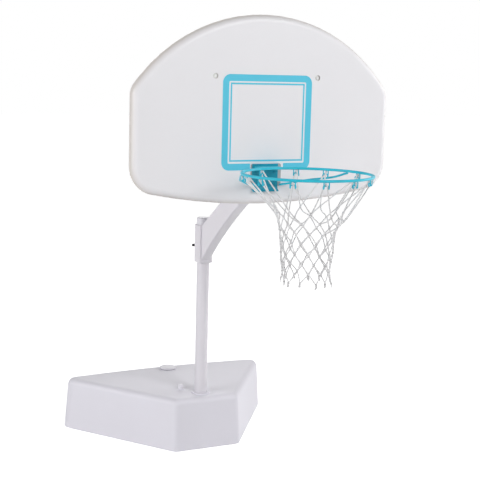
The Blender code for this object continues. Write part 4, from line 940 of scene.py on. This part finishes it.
# Soft boxes: name, place, size and power, and the point they all face
SOFT_BOXES = (("front_right_box", (1.6, -5.0, 4.2), 2.6, 152),
              ("left_box", (-5.0, -0.6, 2.0), 3.0, 150),
              ("right_box", (5.0, -1.0, 2.4), 3.0, 95),
              ("low_front_box", (0.4, -5.5, 1.2), 2.6, 22),
              ("back_box", (1.8, 4.6, 3.4), 3.0, 56))
LIT_POINT = Vector((0, -0.2, 0.9))
WORLD_LIGHT = 0.12

# Floor: how far it lies below zero, its size, its colour, and the glow that makes it show white
FLOOR_DROP = 0.0005
FLOOR_SIZE = 60
FLOOR_COLOUR = (0.82, 0.82, 0.82, 1)
FLOOR_GLOW = 0.92
PLAIN_WHITE = (1, 1, 1, 1)


def make_camera():
    """The photograph's camera."""
    ahead = Vector((math.sin(CAMERA_YAW) * math.cos(CAMERA_PITCH),
                    math.cos(CAMERA_YAW) * math.cos(CAMERA_PITCH), math.sin(CAMERA_PITCH)))
    level = Vector((math.cos(CAMERA_YAW), -math.sin(CAMERA_YAW), 0))
    upright = level.cross(ahead)
    right = level * math.cos(CAMERA_ROLL) + upright * math.sin(CAMERA_ROLL)
    above = upright * math.cos(CAMERA_ROLL) - level * math.sin(CAMERA_ROLL)
    deselect()
    bpy.ops.object.camera_add(location=CAMERA_PLACE)
    camera = bpy.context.object
    camera.rotation_euler = Matrix((right, above, -ahead)).transposed().to_euler()
    camera.data.sensor_width = CAMERA_SENSOR
    camera.data.lens = CAMERA_LENS
    camera.data.clip_end = CAMERA_REACH
    bpy.context.scene.camera = camera


def seen_directly(tree):
    """One for rays from the camera, reflections and glass, and nought for light on things."""
    path = put(tree, "ShaderNodeLightPath")
    first = put(tree, "ShaderNodeMath", links={0: path.outputs["Is Camera Ray"],
                                               1: path.outputs["Is Glossy Ray"]},
                operation="MAXIMUM")
    return put(tree, "ShaderNodeMath", links={0: first.outputs[0],
                                              1: path.outputs["Is Transmission Ray"]},
               operation="MAXIMUM").outputs[0]


def make_floor():
    """A pale floor that keeps the object's shadow and otherwise shows white."""
    deselect()
    bpy.ops.mesh.primitive_plane_add(size=FLOOR_SIZE, location=(0, 0, -FLOOR_DROP))
    floor = bpy.context.object
    floor.name = "floor"
    made = bpy.data.materials.new("pale_floor")
    made.use_nodes = True
    tree = made.node_tree
    tree.nodes.clear()
    paint = put(tree, "ShaderNodeBsdfDiffuse", {"Color": FLOOR_COLOUR})
    glow = put(tree, "ShaderNodeEmission", {"Color": PLAIN_WHITE, "Strength": FLOOR_GLOW})
    both = put(tree, "ShaderNodeAddShader", links={0: paint.outputs[0], 1: glow.outputs[0]})
    choice = put(tree, "ShaderNodeMixShader", links={0: seen_directly(tree), 1: paint.outputs[0],
                                                     2: both.outputs[0]})
    put(tree, "ShaderNodeOutputMaterial", links={"Surface": choice.outputs[0]})
    floor.data.materials.append(made)


def make_world():
    """Even light from all round, and plain white behind the object."""
    world = bpy.data.worlds.new("studio")
    bpy.context.scene.world = world
    world.use_nodes = True
    tree = world.node_tree
    tree.nodes.clear()
    light = put(tree, "ShaderNodeBackground", {"Color": PLAIN_WHITE, "Strength": WORLD_LIGHT})
    white = put(tree, "ShaderNodeBackground", {"Color": PLAIN_WHITE, "Strength": 1.0})
    choice = put(tree, "ShaderNodeMixShader", links={0: seen_directly(tree), 1: light.outputs[0],
                                                     2: white.outputs[0]})
    put(tree, "ShaderNodeOutputWorld", links={"Surface": choice.outputs[0]})


def make_lamp(name, place, size, power):
    """A square soft box that faces the hoop."""
    deselect()
    bpy.ops.object.light_add(type="AREA", location=place)
    lamp = bpy.context.object
    lamp.name = name
    lamp.data.size = size
    lamp.data.energy = power
    lamp.rotation_euler = (LIT_POINT - Vector(place)).to_track_quat("-Z", "Y").to_euler()


make_camera()
make_floor()
make_world()
for name, place, size, power in SOFT_BOXES:
    make_lamp(name, place, size, power)
bpy.context.scene.view_settings.view_transform = "Standard"
